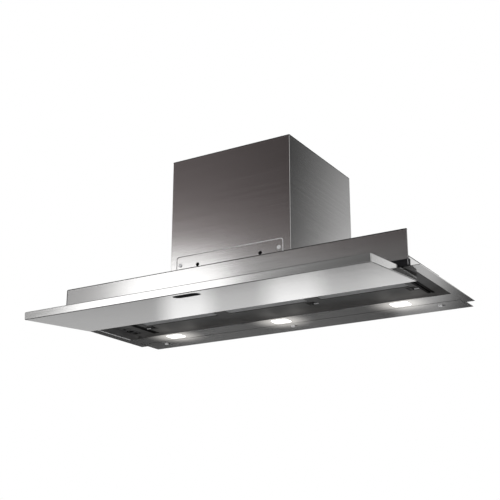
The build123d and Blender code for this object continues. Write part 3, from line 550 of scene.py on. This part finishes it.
coverScrew = {"radius": 4.75 * mm, "height": 2.2 * mm, "shank": 2.0 * mm, "depth": 4.0 * mm}
low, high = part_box("access_cover_screws")
shape = bmesh.new()
for x in (low.x + coverScrew["radius"], high.x - coverScrew["radius"]):
    addScrew(shape, (x, low.y + coverScrew["height"], (low.z + high.z) / 2), (0, -1, 0), **coverScrew)
addPiece("coverScrewHeads", shape, "zinc_fasteners", "housing", ["access_cover_screws"])
print("screws done")


# Hems along the top of a plate's front and down its left end, and down its right end too if asked
def addHem(shape, node, radius, corner, rightEnd):
    low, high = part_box(node)
    halfWidth, halfHeight = high.x, (high.z - low.z) / 2
    outline = roundedOutline(halfWidth, halfHeight, corner)
    quarter = len(outline) // 4
    upper = outline[quarter:3 * quarter] + [Vector((-halfWidth, -halfHeight))]
    if rightEnd:
        upper.insert(0, Vector((halfWidth, -halfHeight)))
    addBead(shape, upper, radius, closed=False)
    standUp(shape, (0, low.y, low.z + halfHeight))


coverHem = {"radius": 0.8 * mm, "corner": 6.0 * mm, "rightEnd": True}
shape = bmesh.new()
addHem(shape, "access_cover", **coverHem)
addPiece("coverHem", shape, "hem_painted_shade_highlight", "housing")

fasciaHem = {"radius": 0.8 * mm, "corner": 2.0 * mm, "rightEnd": False}
shape = bmesh.new()
addHem(shape, "fascia", **fasciaHem)
addPiece("fasciaHem", shape, "seal_rubber", "housing")

# Gasket under the edge of the box's top panel
boxGasket = {"radius": 0.6 * mm, "corner": 1.5 * mm}
low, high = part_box("box_wrap")
middle = (low + high) / 2
outline = roundedOutline(high.x, high.y - middle.y, boxGasket["corner"])
shape = bmesh.new()
addBead(shape, outline, boxGasket["radius"], (0, middle.y, high.z - boxGasket["radius"]))
addPiece("boxGasket", shape, "seal_rubber", "housing")

# Trim ring round each lens
lensTrim = {"radius": 0.35 * mm, "corner": 8.0 * mm}
reach = lensTrim["radius"]
shape = bmesh.new()
for side in sides:
    low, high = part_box(f"lamp_lens_{side}")
    middle, half = (low + high) / 2, (high - low) / 2
    outline = roundedOutline(half.x + reach, half.y + reach, lensTrim["corner"] + reach)
    addBead(shape, outline, lensTrim["radius"], (middle.x, middle.y, 0))
addPiece("lensTrims", shape, "zinc_fasteners", "housing")

# Seal on the visor's upper front edge, which is the highest spot of a narrow band at the front
visorSeal = {"radius": 0.8 * mm, "inset": 2.5 * mm, "band": 5.0 * mm}
low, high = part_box("visor_tray")
tray = nodes["visor_tray"]
frontBand = [tray.matrix_world @ v.co for v in tray.data.vertices if v.co.y < low.y + visorSeal["band"]]
edge = max(frontBand, key=lambda c: c.z)
reach = high.x - visorSeal["inset"]
ends = [Vector((-reach, 0)), Vector((reach, 0))]
shape = bmesh.new()
addBead(shape, ends, visorSeal["radius"], (0, edge.y, edge.z), closed=False)
addPiece("visorSeal", shape, "seal_rubber", "visor")

# Seal between the lamp bar and the rear strip
stripSeal = {"gap": 2.5 * mm, "inset": 1.0 * mm, "low": 0.2 * mm, "high": 1.1 * mm, "rounding": 0.2 * mm}
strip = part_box("rear_strip")[0]
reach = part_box("visor_tray")[1].x - stripSeal["inset"]
shape = bmesh.new()
addBlock(shape, (-reach, strip.y - stripSeal["gap"], stripSeal["low"]), (reach, strip.y, stripSeal["high"]),
         stripSeal["rounding"])
addPiece("stripSeal", shape, "seal_rubber", "housing")

# Rolled edge of the flange along each side of the recess, a round bead whose pale zinc colour paints a
# bright line along each edge, besides the light that the bead catches
recessHem = {"radius": 1.1 * mm, "rise": 1.1 * mm, "inset": 1.2 * mm, "rear": 76.0 * mm}
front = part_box("base_frame")[0].y
shape = bmesh.new()
for mirror in (-1, 1):
    x = mirror * (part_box("recess_deck")[1].x - recessHem["inset"])
    ends = [Vector((x, front)), Vector((x, recessHem["rear"]))]
    addBead(shape, ends, recessHem["radius"], (0, 0, recessHem["rise"]), closed=False)
addPiece("recessHem", shape, "zinc_fasteners", "housing")

# Thin sheet on the recess's side walls, which carries the dark grey of painted shade
paintedShadeLiner = {"wall": 426.0 * mm, "thick": 0.5 * mm, "front": -150.0 * mm, "rear": 110.0 * mm,
             "low": 2.5 * mm, "high": 18.0 * mm, "rounding": 0.1 * mm}
shape = bmesh.new()
addBlockPair(shape, (paintedShadeLiner["wall"], paintedShadeLiner["wall"] - paintedShadeLiner["thick"]),
             (paintedShadeLiner["front"], paintedShadeLiner["rear"]), (paintedShadeLiner["low"], paintedShadeLiner["high"]),
             paintedShadeLiner["rounding"])
addPiece("paintedShadeLiners", shape, "shaded_sheet", "housing")

# Pale seam at each end of the dark rail under the fascia
railSeam = {"radius": 0.5 * mm, "inset": 3.0 * mm, "trim": 1.0 * mm, "steps": 12}
low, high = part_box("fascia_rail")
profile = [(railSeam["radius"], 0), (railSeam["radius"], high.z - low.z - 2 * railSeam["trim"])]
shape = bmesh.new()
for x in (low.x + railSeam["inset"], high.x - railSeam["inset"]):
    addTurned(shape, profile, (x, low.y, low.z + railSeam["trim"]), (0, 0, 1), railSeam["steps"])
addPiece("railSeams", shape, "hem_grey", "housing")

# Plugs in the keyholes of the rear strip
keyPlug = {"offset": 8.5 * mm, "radius": 3.5 * mm, "low": 0.5 * mm, "high": 1.15 * mm}
profile = [(keyPlug["radius"], 0), (keyPlug["radius"], keyPlug["high"] - keyPlug["low"])]
shape = bmesh.new()
for x in stripXs:
    addTurned(shape, profile, (x + keyPlug["offset"], stripY, keyPlug["low"]), (0, 0, 1))
addPiece("keyPlugs", shape, "seal_rubber", "housing")
print("hems, trims and plugs done")


# Filter cores of expanded metal, two layers of diamonds
weave = {"long": 9.0 * mm, "short": 5.2 * mm, "strand": 1.1 * mm, "inset": 0.6 * mm, "shift": 2.6 * mm,
         "spare": 4}  # more diamonds than the core needs, to be cut off


def addWeave(shape, low, high, level, shift, look=weave):
    before = set(shape.verts)
    wide, deep = high.x - low.x, high.y - low.y
    count = int((wide / look["long"] + deep / look["short"]) / 2) + look["spare"]
    bmesh.ops.create_grid(shape, x_segments=2 * count, y_segments=2 * count, size=count)
    made = [v for v in shape.verts if v not in before]
    bmesh.ops.rotate(shape, cent=(0, 0, 0), matrix=Matrix.Rotation(pi / 4, 3, "Z"), verts=made)
    diagonal = 2 ** 0.5
    bmesh.ops.scale(shape, vec=(look["long"] / diagonal, look["short"] / diagonal, 1), verts=made)
    middle = (low + high) / 2
    bmesh.ops.translate(shape, vec=(middle.x + shift, middle.y + shift, level), verts=made)
    for spot, away in ((low, (-1, 0, 0)), (low, (0, -1, 0)), (high, (1, 0, 0)), (high, (0, 1, 0))):
        mine = [v for v in shape.verts if v not in before]
        edges = {e for v in mine for e in v.link_edges}
        faces = {f for v in mine for f in v.link_faces}
        bmesh.ops.bisect_plane(shape, geom=mine + list(edges) + list(faces), plane_co=(spot.x, spot.y, 0),
                               plane_no=away, clear_outer=True)
    faces = {f for v in shape.verts if v not in before for f in v.link_faces}
    bmesh.ops.wireframe(shape, faces=list(faces), thickness=look["strand"], use_replace=True,
                        use_boundary=True, use_even_offset=False)


for side in sides:
    low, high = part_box(f"filter_mesh_{side}")
    shape = bmesh.new()
    addWeave(shape, low, high, low.z + weave["inset"], 0.0)
    addWeave(shape, low, high, high.z - weave["inset"], weave["shift"])
    addPiece(f"filterWeave.{side}", shape, "filter_aluminium", "housing",
             [f"filter_mesh_{side}"])
print("filter cores done")


# Fluted speed knob on its shaft
knob = {"steps": 96, "flutes": 12, "fluteDepth": 0.09, "fluteEdge": 3, "rounding": 0.8 * mm,
        "shaft": 3.0 * mm, "cap": 1.2 * mm, "inlay": 0.15 * mm}
low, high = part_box("speed_knob")
middle = (low + high) / 2
radius = (high.x - low.x) / 2
base, cap = low.z + knob["inlay"], low.z + knob["cap"]
levels = [(radius - knob["rounding"], base), (radius, base + knob["rounding"]), (radius, cap),
          (knob["shaft"], cap), (knob["shaft"], high.z)]
shape = bmesh.new()
rings = []
for reach, z in levels:
    centre = Vector((middle.x, middle.y, z))
    ring = bmesh.ops.create_circle(shape, segments=knob["steps"], radius=reach,
                                   matrix=Matrix.Translation(centre))["verts"]
    if reach > knob["shaft"]:
        for v in ring:
            outward = v.co - centre
            wave = 0.5 + 0.5 * cos(knob["flutes"] * atan2(outward.y, outward.x))
            v.co -= outward * knob["fluteDepth"] * wave ** knob["fluteEdge"]
    rings.append({e for v in ring for e in v.link_edges})
bridgeRings(shape, rings, closed=False)
addPiece("flutedKnob", shape, "control_plastic", "knob", ["speed_knob"])

# Pointer let into the knob's face
pointer = {"start": 2.4 * mm, "end": 7.4 * mm, "width": 0.9 * mm, "rounding": 0.05 * mm}
half = pointer["width"] / 2
shape = bmesh.new()
addBlock(shape, (middle.x - half, middle.y - pointer["end"], low.z),
         (middle.x + half, middle.y - pointer["start"], base + knob["inlay"]), pointer["rounding"])
addPiece("knobPointer", shape, "mark_grey", "knob")

# Marks of the dial round the knob
dial = {"count": 7, "sweep": 270.0, "inner": 9.7 * mm, "outer": 11.1 * mm, "width": 0.6 * mm,
        "thick": 0.2 * mm, "rounding": 0.04 * mm}
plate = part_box("control_bezel")[0].z
half, thick = dial["width"] / 2, dial["thick"]
shape = bmesh.new()
for number in range(dial["count"]):
    before = set(shape.verts)
    addBlock(shape, (-half, dial["inner"], -thick / 2), (half, dial["outer"], thick / 2), dial["rounding"])
    angle = radians(dial["sweep"]) * (number / (dial["count"] - 1) - 0.5) + pi
    turn = Matrix.Translation((middle.x, middle.y, plate)) @ Matrix.Rotation(angle, 4, "Z")
    bmesh.ops.transform(shape, matrix=turn, verts=[v for v in shape.verts if v not in before])
addPiece("dialMarks", shape, "mark_grey", "housing")
print("controls done")


# Rubber lips along the two slots of the visor's arms
slotLip = {"lap": 2.0 * mm, "reach": 4.2 * mm, "thick": 0.8 * mm, "slot": 12.0 * mm, "front": -152.0 * mm,
           "rear": 111.0 * mm, "roof": 19.0 * mm, "rounding": 0.2 * mm}
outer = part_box("slide_rail_right")[0].x
inner = outer - slotLip["slot"]
shape = bmesh.new()
for xs in ((outer - slotLip["reach"], outer + slotLip["lap"]),
           (inner - slotLip["lap"], inner + slotLip["reach"])):
    addBlockPair(shape, xs, (slotLip["front"], slotLip["rear"]),
                 (slotLip["roof"] - slotLip["thick"], slotLip["roof"]), slotLip["rounding"])
addPiece("slotLips", shape, "seal_rubber", "housing")

# Black felt beside, over and behind the slots, on the plenum's sides, whose black paints the shade inside
# the slots
slotShadeFelt = {"thick": 1.2 * mm, "reach": 21.0 * mm, "inset": 1.0 * mm, "gap": 0.2 * mm, "roof": 58.5 * mm,
            "high": 59.5 * mm, "rounding": 0.2 * mm}
low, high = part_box("plenum")
front, rear = low.y + slotShadeFelt["inset"], high.y - slotShadeFelt["inset"]
foot, top = low.z + slotShadeFelt["gap"], slotShadeFelt["high"]
shape = bmesh.new()
for reach, start, bottom in ((slotShadeFelt["thick"], front, foot), (slotShadeFelt["reach"], front, slotShadeFelt["roof"]),
                             (slotShadeFelt["reach"], rear - slotShadeFelt["thick"], foot)):
    addBlockPair(shape, (high.x, high.x + reach), (start, rear), (bottom, top), slotShadeFelt["rounding"])
addPiece("slotShadeFelts", shape, "seal_rubber", "housing")

# Bright finger bar across each dark latch
latchBar = {"length": 11.0 * mm, "inset": 7.0 * mm, "width": 3.0 * mm, "drop": 0.7 * mm,
            "rounding": 0.3 * mm}
for side in sides:
    low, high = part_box(f"filter_latch_{side}")
    outward = -1 if side == "left" else 1
    inner = low.x if outward > 0 else high.x
    start = inner + outward * latchBar["inset"]
    across = sorted((start, start + outward * latchBar["length"]))
    middle, half = (low.y + high.y) / 2, latchBar["width"] / 2
    shape = bmesh.new()
    addBlock(shape, (across[0], middle - half, low.z - latchBar["drop"]),
             (across[1], middle + half, low.z + latchBar["drop"]), latchBar["rounding"])
    addPiece(f"latchBar.{side}", shape, "zinc_fasteners", f"latch_{side}")
print("lips and latches done")


# Pressed beads on the back panel
backBead = {"radius": 1.8 * mm, "halfWidth": 110.0 * mm, "halfHeight": 92.0 * mm, "corner": 14.0 * mm,
            "z": 190.0 * mm, "ribs": (-40.0 * mm, 0.0, 40.0 * mm), "ribHalf": 80.0 * mm}
outline = roundedOutline(backBead["halfWidth"], backBead["halfHeight"], backBead["corner"])
shape = bmesh.new()
addBead(shape, outline, backBead["radius"])
for rise in backBead["ribs"]:
    ends = [Vector((mirror * backBead["ribHalf"], rise)) for mirror in (-1, 1)]
    addBead(shape, ends, backBead["radius"], closed=False)
standUp(shape, (0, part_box("box_back")[1].y, backBead["z"]))
addPiece("backBeads", shape, "box_steel", "housing")

# Rivets of the back panel, the plenum's lid and the rear tray
rivet = {
    "profile": ((3.2 * mm, -0.9 * mm), (3.2 * mm, 0.2 * mm), (2.5 * mm, 0.6 * mm), (1.2 * mm, 0.9 * mm)),
    "steps": 16,
    "edge": 7.0 * mm,
    "rise": (90.0 * mm, 170.0 * mm, 250.0 * mm, 330.0 * mm),
    "each": 3,  # on each side of the middle one
    "lidStep": 118.0 * mm,
    "trayStep": 110.0 * mm,
}
numbers = range(-rivet["each"], rivet["each"] + 1)
low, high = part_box("box_back")
boxEdge = high.x
rivets = [((x, high.y, z), (0, 1, 0)) for x in (low.x + rivet["edge"], high.x - rivet["edge"])
          for z in rivet["rise"]]
low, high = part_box("plenum_lid")
for y in (low.y + rivet["edge"], high.y - rivet["edge"]):
    for x in (number * rivet["lidStep"] for number in numbers):
        if abs(x) > boxEdge or y > 0:  # the box leaves no room in the middle of the front row
            rivets.append(((x, y, high.z), (0, 0, 1)))
low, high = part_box("rear_tray")
rivets += [((number * rivet["trayStep"], high.y, high.z - rivet["edge"]), (0, 1, 0)) for number in numbers]
shape = bmesh.new()
for place, towards in rivets:
    addTurned(shape, rivet["profile"], place, towards, rivet["steps"])
addPiece("rivets", shape, "zinc_fasteners", "housing")

# Pressed panels on the plenum's lid, left and right of the box
lidBead = {"radius": 1.6 * mm, "x": 262.0 * mm, "y": 25.0 * mm, "halfWidth": 78.0 * mm,
           "halfLength": 120.0 * mm, "corner": 16.0 * mm, "step": 16.0 * mm, "rings": 2}
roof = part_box("plenum_lid")[1].z
shape = bmesh.new()
for mirror in (-1, 1):
    for ring in range(lidBead["rings"]):
        trim = ring * lidBead["step"]
        outline = roundedOutline(lidBead["halfWidth"] - trim, lidBead["halfLength"] - trim,
                                 lidBead["corner"])
        addBead(shape, outline, lidBead["radius"], (mirror * lidBead["x"], lidBead["y"], roof))
addPiece("lidBeads", shape, "galvanised_sheet", "housing")

# Screws of the outlet collar and the box top
topScrew = {"radius": 3.2 * mm, "height": 1.8 * mm, "shank": 1.4 * mm, "depth": 3.0 * mm}
topScrewPlaces = {"count": 6, "reach": 82.0 * mm, "flange": 2.0 * mm, "corner": 12.0 * mm}
low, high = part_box("outlet_collar")
middle = (low + high) / 2
shape = bmesh.new()
for number in range(topScrewPlaces["count"]):
    angle = 2 * pi * (number + 0.5) / topScrewPlaces["count"]
    x = middle.x + topScrewPlaces["reach"] * cos(angle)
    y = middle.y + topScrewPlaces["reach"] * sin(angle)
    addScrew(shape, (x, y, low.z + topScrewPlaces["flange"]), (0, 0, 1), **topScrew)
low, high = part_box("box_top")
for x in (low.x + topScrewPlaces["corner"], high.x - topScrewPlaces["corner"]):
    for y in (low.y + topScrewPlaces["corner"], high.y - topScrewPlaces["corner"]):
        addScrew(shape, (x, y, high.z), (0, 0, 1), **topScrew)
addPiece("topScrews", shape, "zinc_fasteners", "housing")

# Screws of the visor's lid, square to the way that the visor slides
lidScrew = {"radius": 3.6 * mm, "height": 0.7 * mm, "shank": 1.4 * mm, "depth": 0.9 * mm}
lidScrewRows = {"count": 5, "step": 190.0 * mm, "back": (12.0 * mm, 180.0 * mm)}
joints = {joint["name"]: joint for joint in frame["record"]["behaviour"]["joints"]}
slide = Vector(joints["visor_slide"]["axis"])
square = Vector((0, -slide.z, slide.y))
low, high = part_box("visor_lid")
shape = bmesh.new()
for number in range(lidScrewRows["count"]):
    x = (number - (lidScrewRows["count"] - 1) / 2) * lidScrewRows["step"]
    for back in lidScrewRows["back"]:
        addScrew(shape, Vector((x, high.y, high.z)) - slide * back, square, **lidScrew)
addPiece("lidScrews", shape, "zinc_fasteners", "visor")

# Stiffening ribs on the backdraft flaps
flapRib = {"xs": (-38.0 * mm, -13.0 * mm, 13.0 * mm, 38.0 * mm), "width": 1.2 * mm, "rise": 1.6 * mm,
           "inset": 9.0 * mm, "slant": 0.38, "rounding": 0.2 * mm}
for place in ("front", "rear"):
    low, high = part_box(f"damper_flap_{place}")
    middle = (low.z + high.z) / 2
    half = flapRib["width"] / 2
    shape = bmesh.new()
    for x in flapRib["xs"]:
        trims = [flapRib["inset"] + abs(x) * flapRib["slant"], flapRib["inset"]]
        if place == "rear":
            trims.reverse()
        addBlock(shape, (x - half, low.y + trims[0], middle),
                 (x + half, high.y - trims[1], middle + flapRib["rise"]), flapRib["rounding"])
    addPiece(f"flapRibs.{place}", shape, "black_plastic", f"flap_{place}")
print("back, top and lid done")


# World that is white for the camera and in reflections, and a soft light for all else
studio = {"floor": -2.2, "reach": 9.0, "ambient": 0.85}
world = bpy.data.worlds.new("studio")
scene.world = world
world.use_nodes = True
world.node_tree.nodes.clear()
wire = Wire(world.node_tree)
kinds = ("Camera", "Glossy", "Transmission")
rays = [wire.node("ShaderNodeLightPath", out=f"Is {kind} Ray") for kind in kinds]
seenWhite = wire.math("MINIMUM", sum(rays), 1.0)
strength = seenWhite * (1 - studio["ambient"]) + studio["ambient"]
glow = wire.node("ShaderNodeBackground", None, {"Color": (1, 1, 1, 1), "Strength": strength})
wire.node("ShaderNodeOutputWorld", None, {"Surface": glow})


# Stage sheets, which show in the steel alone unless they are seen
def panel(name, faces, finish, seen):
    shape = bmesh.new()
    for corners in faces:
        shape.faces.new([shape.verts.new(c) for c in corners])
    mesh = bpy.data.meshes.new(name)
    shape.to_mesh(mesh)
    shape.free()
    mesh.materials.append(finish)
    made = bpy.data.objects.new(name, mesh)
    scene.collection.objects.link(made)
    for ray in ("camera", "diffuse", "shadow", "transmission", "volume_scatter"):
        setattr(made, f"visible_{ray}", seen)
    made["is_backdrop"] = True


def levelSheet(low, high, z):
    return ((low[0], low[1], z), (high[0], low[1], z), (high[0], high[1], z), (low[0], high[1], z))


finish, wire = newFinish("paleFloor")
grit = noise(wire, (3.0, 3.0, 3.0), detail=4.0)
paint = ramp(wire, grit, (0.3, (0.80, 0.80, 0.80)), (0.7, (0.84, 0.84, 0.84)))
surface(wire, {"Base Color": paint, "Roughness": 0.8})
reach = studio["reach"]
panel("floor", [levelSheet((-reach, -reach), (reach, reach), studio["floor"])], finish, True)


# a place on a card: azimuth 0 is in front, 90 to the right
def cardSpot(azimuth, distance, height):
    a = radians(azimuth)
    return (distance * sin(a), -distance * cos(a), height)


# grey by a value, from (value, grey) pairs
def gradient(wire, value, stops, tint=(1, 1, 1)):
    first, last = stops[0][0], stops[-1][0]
    share = wire.node("ShaderNodeMapRange", None, {"Value": value, "From Min": first, "From Max": last})
    return ramp(wire, share, *[((v - first) / (last - first), tuple(g * t for t in tint)) for v, g in stops])


# a card whose low and high edges run from one azimuth to another at a height, shaded by azimuth and height
def addCard(name, low, high, distance, across, upward, strength=1.0, tint=(1, 1, 1), columnWidth=4.0):
    finish, wire = newFinish(name)
    place = objectPlace(wire)
    x, y, z = [wire.node("ShaderNodeSeparateXYZ", None, {"Vector": place}, out=axis) for axis in "XYZ"]
    azimuth = wire.math("ARCTAN2", x, y * -1) * (180 / pi)
    tone = wire.node("ShaderNodeVectorMath", {"operation": "MULTIPLY"},
                     {0: gradient(wire, azimuth, across, tint), 1: gradient(wire, z, upward)})
    glow = wire.node("ShaderNodeEmission", None, {"Color": tone, "Strength": strength})
    wire.node("ShaderNodeOutputMaterial", None, {"Surface": glow})
    count = 1 + int(abs(low[1] - low[0]) / columnWidth)
    columns = []
    for step in range(count + 1):
        share = step / count
        columns.append([cardSpot(start + share * (end - start), distance, height)
                        for start, end, height in (low, high)])
    panel(name, [(a, c, d, b) for (a, b), (c, d) in zip(columns, columns[1:])], finish, False)


even = ((-20.0, 1.0), (20.0, 1.0))
cards = {
    "softbox": {
        "low": (-42, -28, 0.0), "high": (-39.2, -32.2, 3.84), "distance": 12.0, "strength": 2.4,
        "across": ((-50, 0.9), (-20, 0.9)),
        "upward": even,
    },
    "cardFront": {
        "low": (-82, 45, -2.0), "high": (-82, 45, 4.0), "distance": 12.5,
        "across": ((-82, 0.5), (-41, 0.5), (-36, 0.45), (-28, 0.40), (-26, 0.34), (-24.5, 0.25),
                   (-22.5, 0.17), (-15, 0.14), (45, 0.11)),
        "upward": even,
    },
    "cardHigh": {
        "low": (-82, 45, 3.87), "high": (-82, 45, 14.0), "distance": 12.0, "tint": (1.0, 0.86, 0.86),
        "across": ((-82, 1.0), (-34, 1.0), (-30, 0.75), (-26, 0.55), (-20, 0.38), (45, 0.34)),
        "upward": ((3.9, 0.30), (4.3, 0.26), (4.7, 0.18), (5.2, 0.14), (6.0, 0.12), (14.0, 0.1)),
    },
    "cardRight": {
        "low": (100, 162, 2.5), "high": (100, 162, 14.0), "distance": 12.0, "strength": 2.2,
        "across": ((100, 0.04), (149, 0.04), (151, 0.08), (152.5, 0.22), (154, 0.42), (157, 0.55),
                   (162, 0.6)),
        "upward": ((2.5, 1.0), (3.7, 1.0), (4.3, 0.62), (4.9, 0.52), (5.6, 0.34), (14.0, 0.3)),
    },
    "cardBackLow": {
        "low": (-120, -178, -2.15), "high": (-120, -178, -0.82), "distance": 5.0,
        "across": ((-178, 0.05), (-166, 0.07), (-156, 0.12), (-146, 0.13), (-139, 0.05), (-120, 0.04)),
        "upward": ((-2.15, 1.0), (-1.14, 1.0), (-1.05, 0.75), (-0.82, 0.7)),
    },
    "cardStrip": {
        "low": (-162.9, -167.8, -2.1), "high": (-160.6, -167.8, -1.14), "distance": 4.95,
        "across": ((-167.8, 0.05), (-166.3, 0.17), (-165.4, 0.34), (-164.6, 0.56), (-163.8, 0.66),
                   (-160.0, 0.66)),
        "upward": ((-2.1, 1.0), (-1.36, 1.0), (-1.30, 0.7), (-1.26, 0.36), (-1.14, 0.25)),
    },
    "cardBackMid": {
        "low": (-120, -178, -0.82), "high": (-120, -178, -0.05), "distance": 5.0, "strength": 2.0,
        "across": ((-178, 0.48), (-160.5, 0.48), (-158.5, 0.40), (-156.5, 0.40), (-154.5, 0.68),
                   (-152.0, 0.68), (-150, 0.38), (-147.0, 0.38), (-145.3, 0.66), (-143.2, 0.66),
                   (-141.5, 0.28), (-120, 0.28)),
        "upward": even,
    },
    "cardBackRight": {
        "low": (178, 110, -2.15), "high": (178, 110, -0.2), "distance": 5.0,
        "across": ((110, 0.12), (178, 0.12)),
        "upward": even,
    },
}
for name, look in cards.items():
    addCard(name, **look)

plainCards = {
    "cardCeiling": {"low": (-11, -11), "high": (11, 11), "z": 8, "tone": 0.35},
    "cardUnder": {"low": (-5, -5), "high": (3, 4.6), "z": -2.1, "tone": 0.08},
}
for name, look in plainCards.items():
    finish, wire = newFinish(name)
    tone = look["tone"]
    glow = wire.node("ShaderNodeEmission", None, {"Color": (tone, tone, tone, 1), "Strength": 1.0})
    wire.node("ShaderNodeOutputMaterial", None, {"Surface": glow})
    panel(name, [levelSheet(look["low"], look["high"], look["z"])], finish, False)

# Soft light from the front left
key = {"azimuth": -37, "distance": 5.0, "height": 0.7, "size": (0.75, 1.5), "power": 9.0}
keyData = bpy.data.lights.new("keyLight", "AREA")
keyData.shape = "RECTANGLE"
keyData.size, keyData.size_y = key["size"]
keyData.energy = key["power"]
keyLight = bpy.data.objects.new("keyLight", keyData)
scene.collection.objects.link(keyLight)
keyLight.location = cardSpot(key["azimuth"], key["distance"], key["height"])
keyLight.rotation_mode = "QUATERNION"
keyLight.rotation_quaternion = (-keyLight.location).to_track_quat("-Z", "Y")
keyLight.visible_glossy = False

# Camera from below and from the front right, as in the photo
view = {
    "at": (1.107, -1.868, -0.557),
    "right": (0.855, 0.518, 0.0),
    "up": (0.16, -0.264, 0.9515),
    "lens": 71.4,
    "clipEnd": 100,
}
camera = bpy.data.objects.new("camera", bpy.data.cameras.new("camera"))
scene.collection.objects.link(camera)
camera.data.lens = view["lens"]
camera.data.clip_end = view["clipEnd"]
right, up = Vector(view["right"]).normalized(), Vector(view["up"]).normalized()
turn = Matrix((right, up, right.cross(up))).transposed().to_4x4()
camera.matrix_world = Matrix.Translation(view["at"]) @ turn
scene.camera = camera
scene.view_settings.view_transform = "Standard"
print("stage, lights and camera done")

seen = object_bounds()
for label, box in (("cad box", cadBox), ("now", seen)):
    print(label, [tuple(round(v, 4) for v in corner) for corner in box])
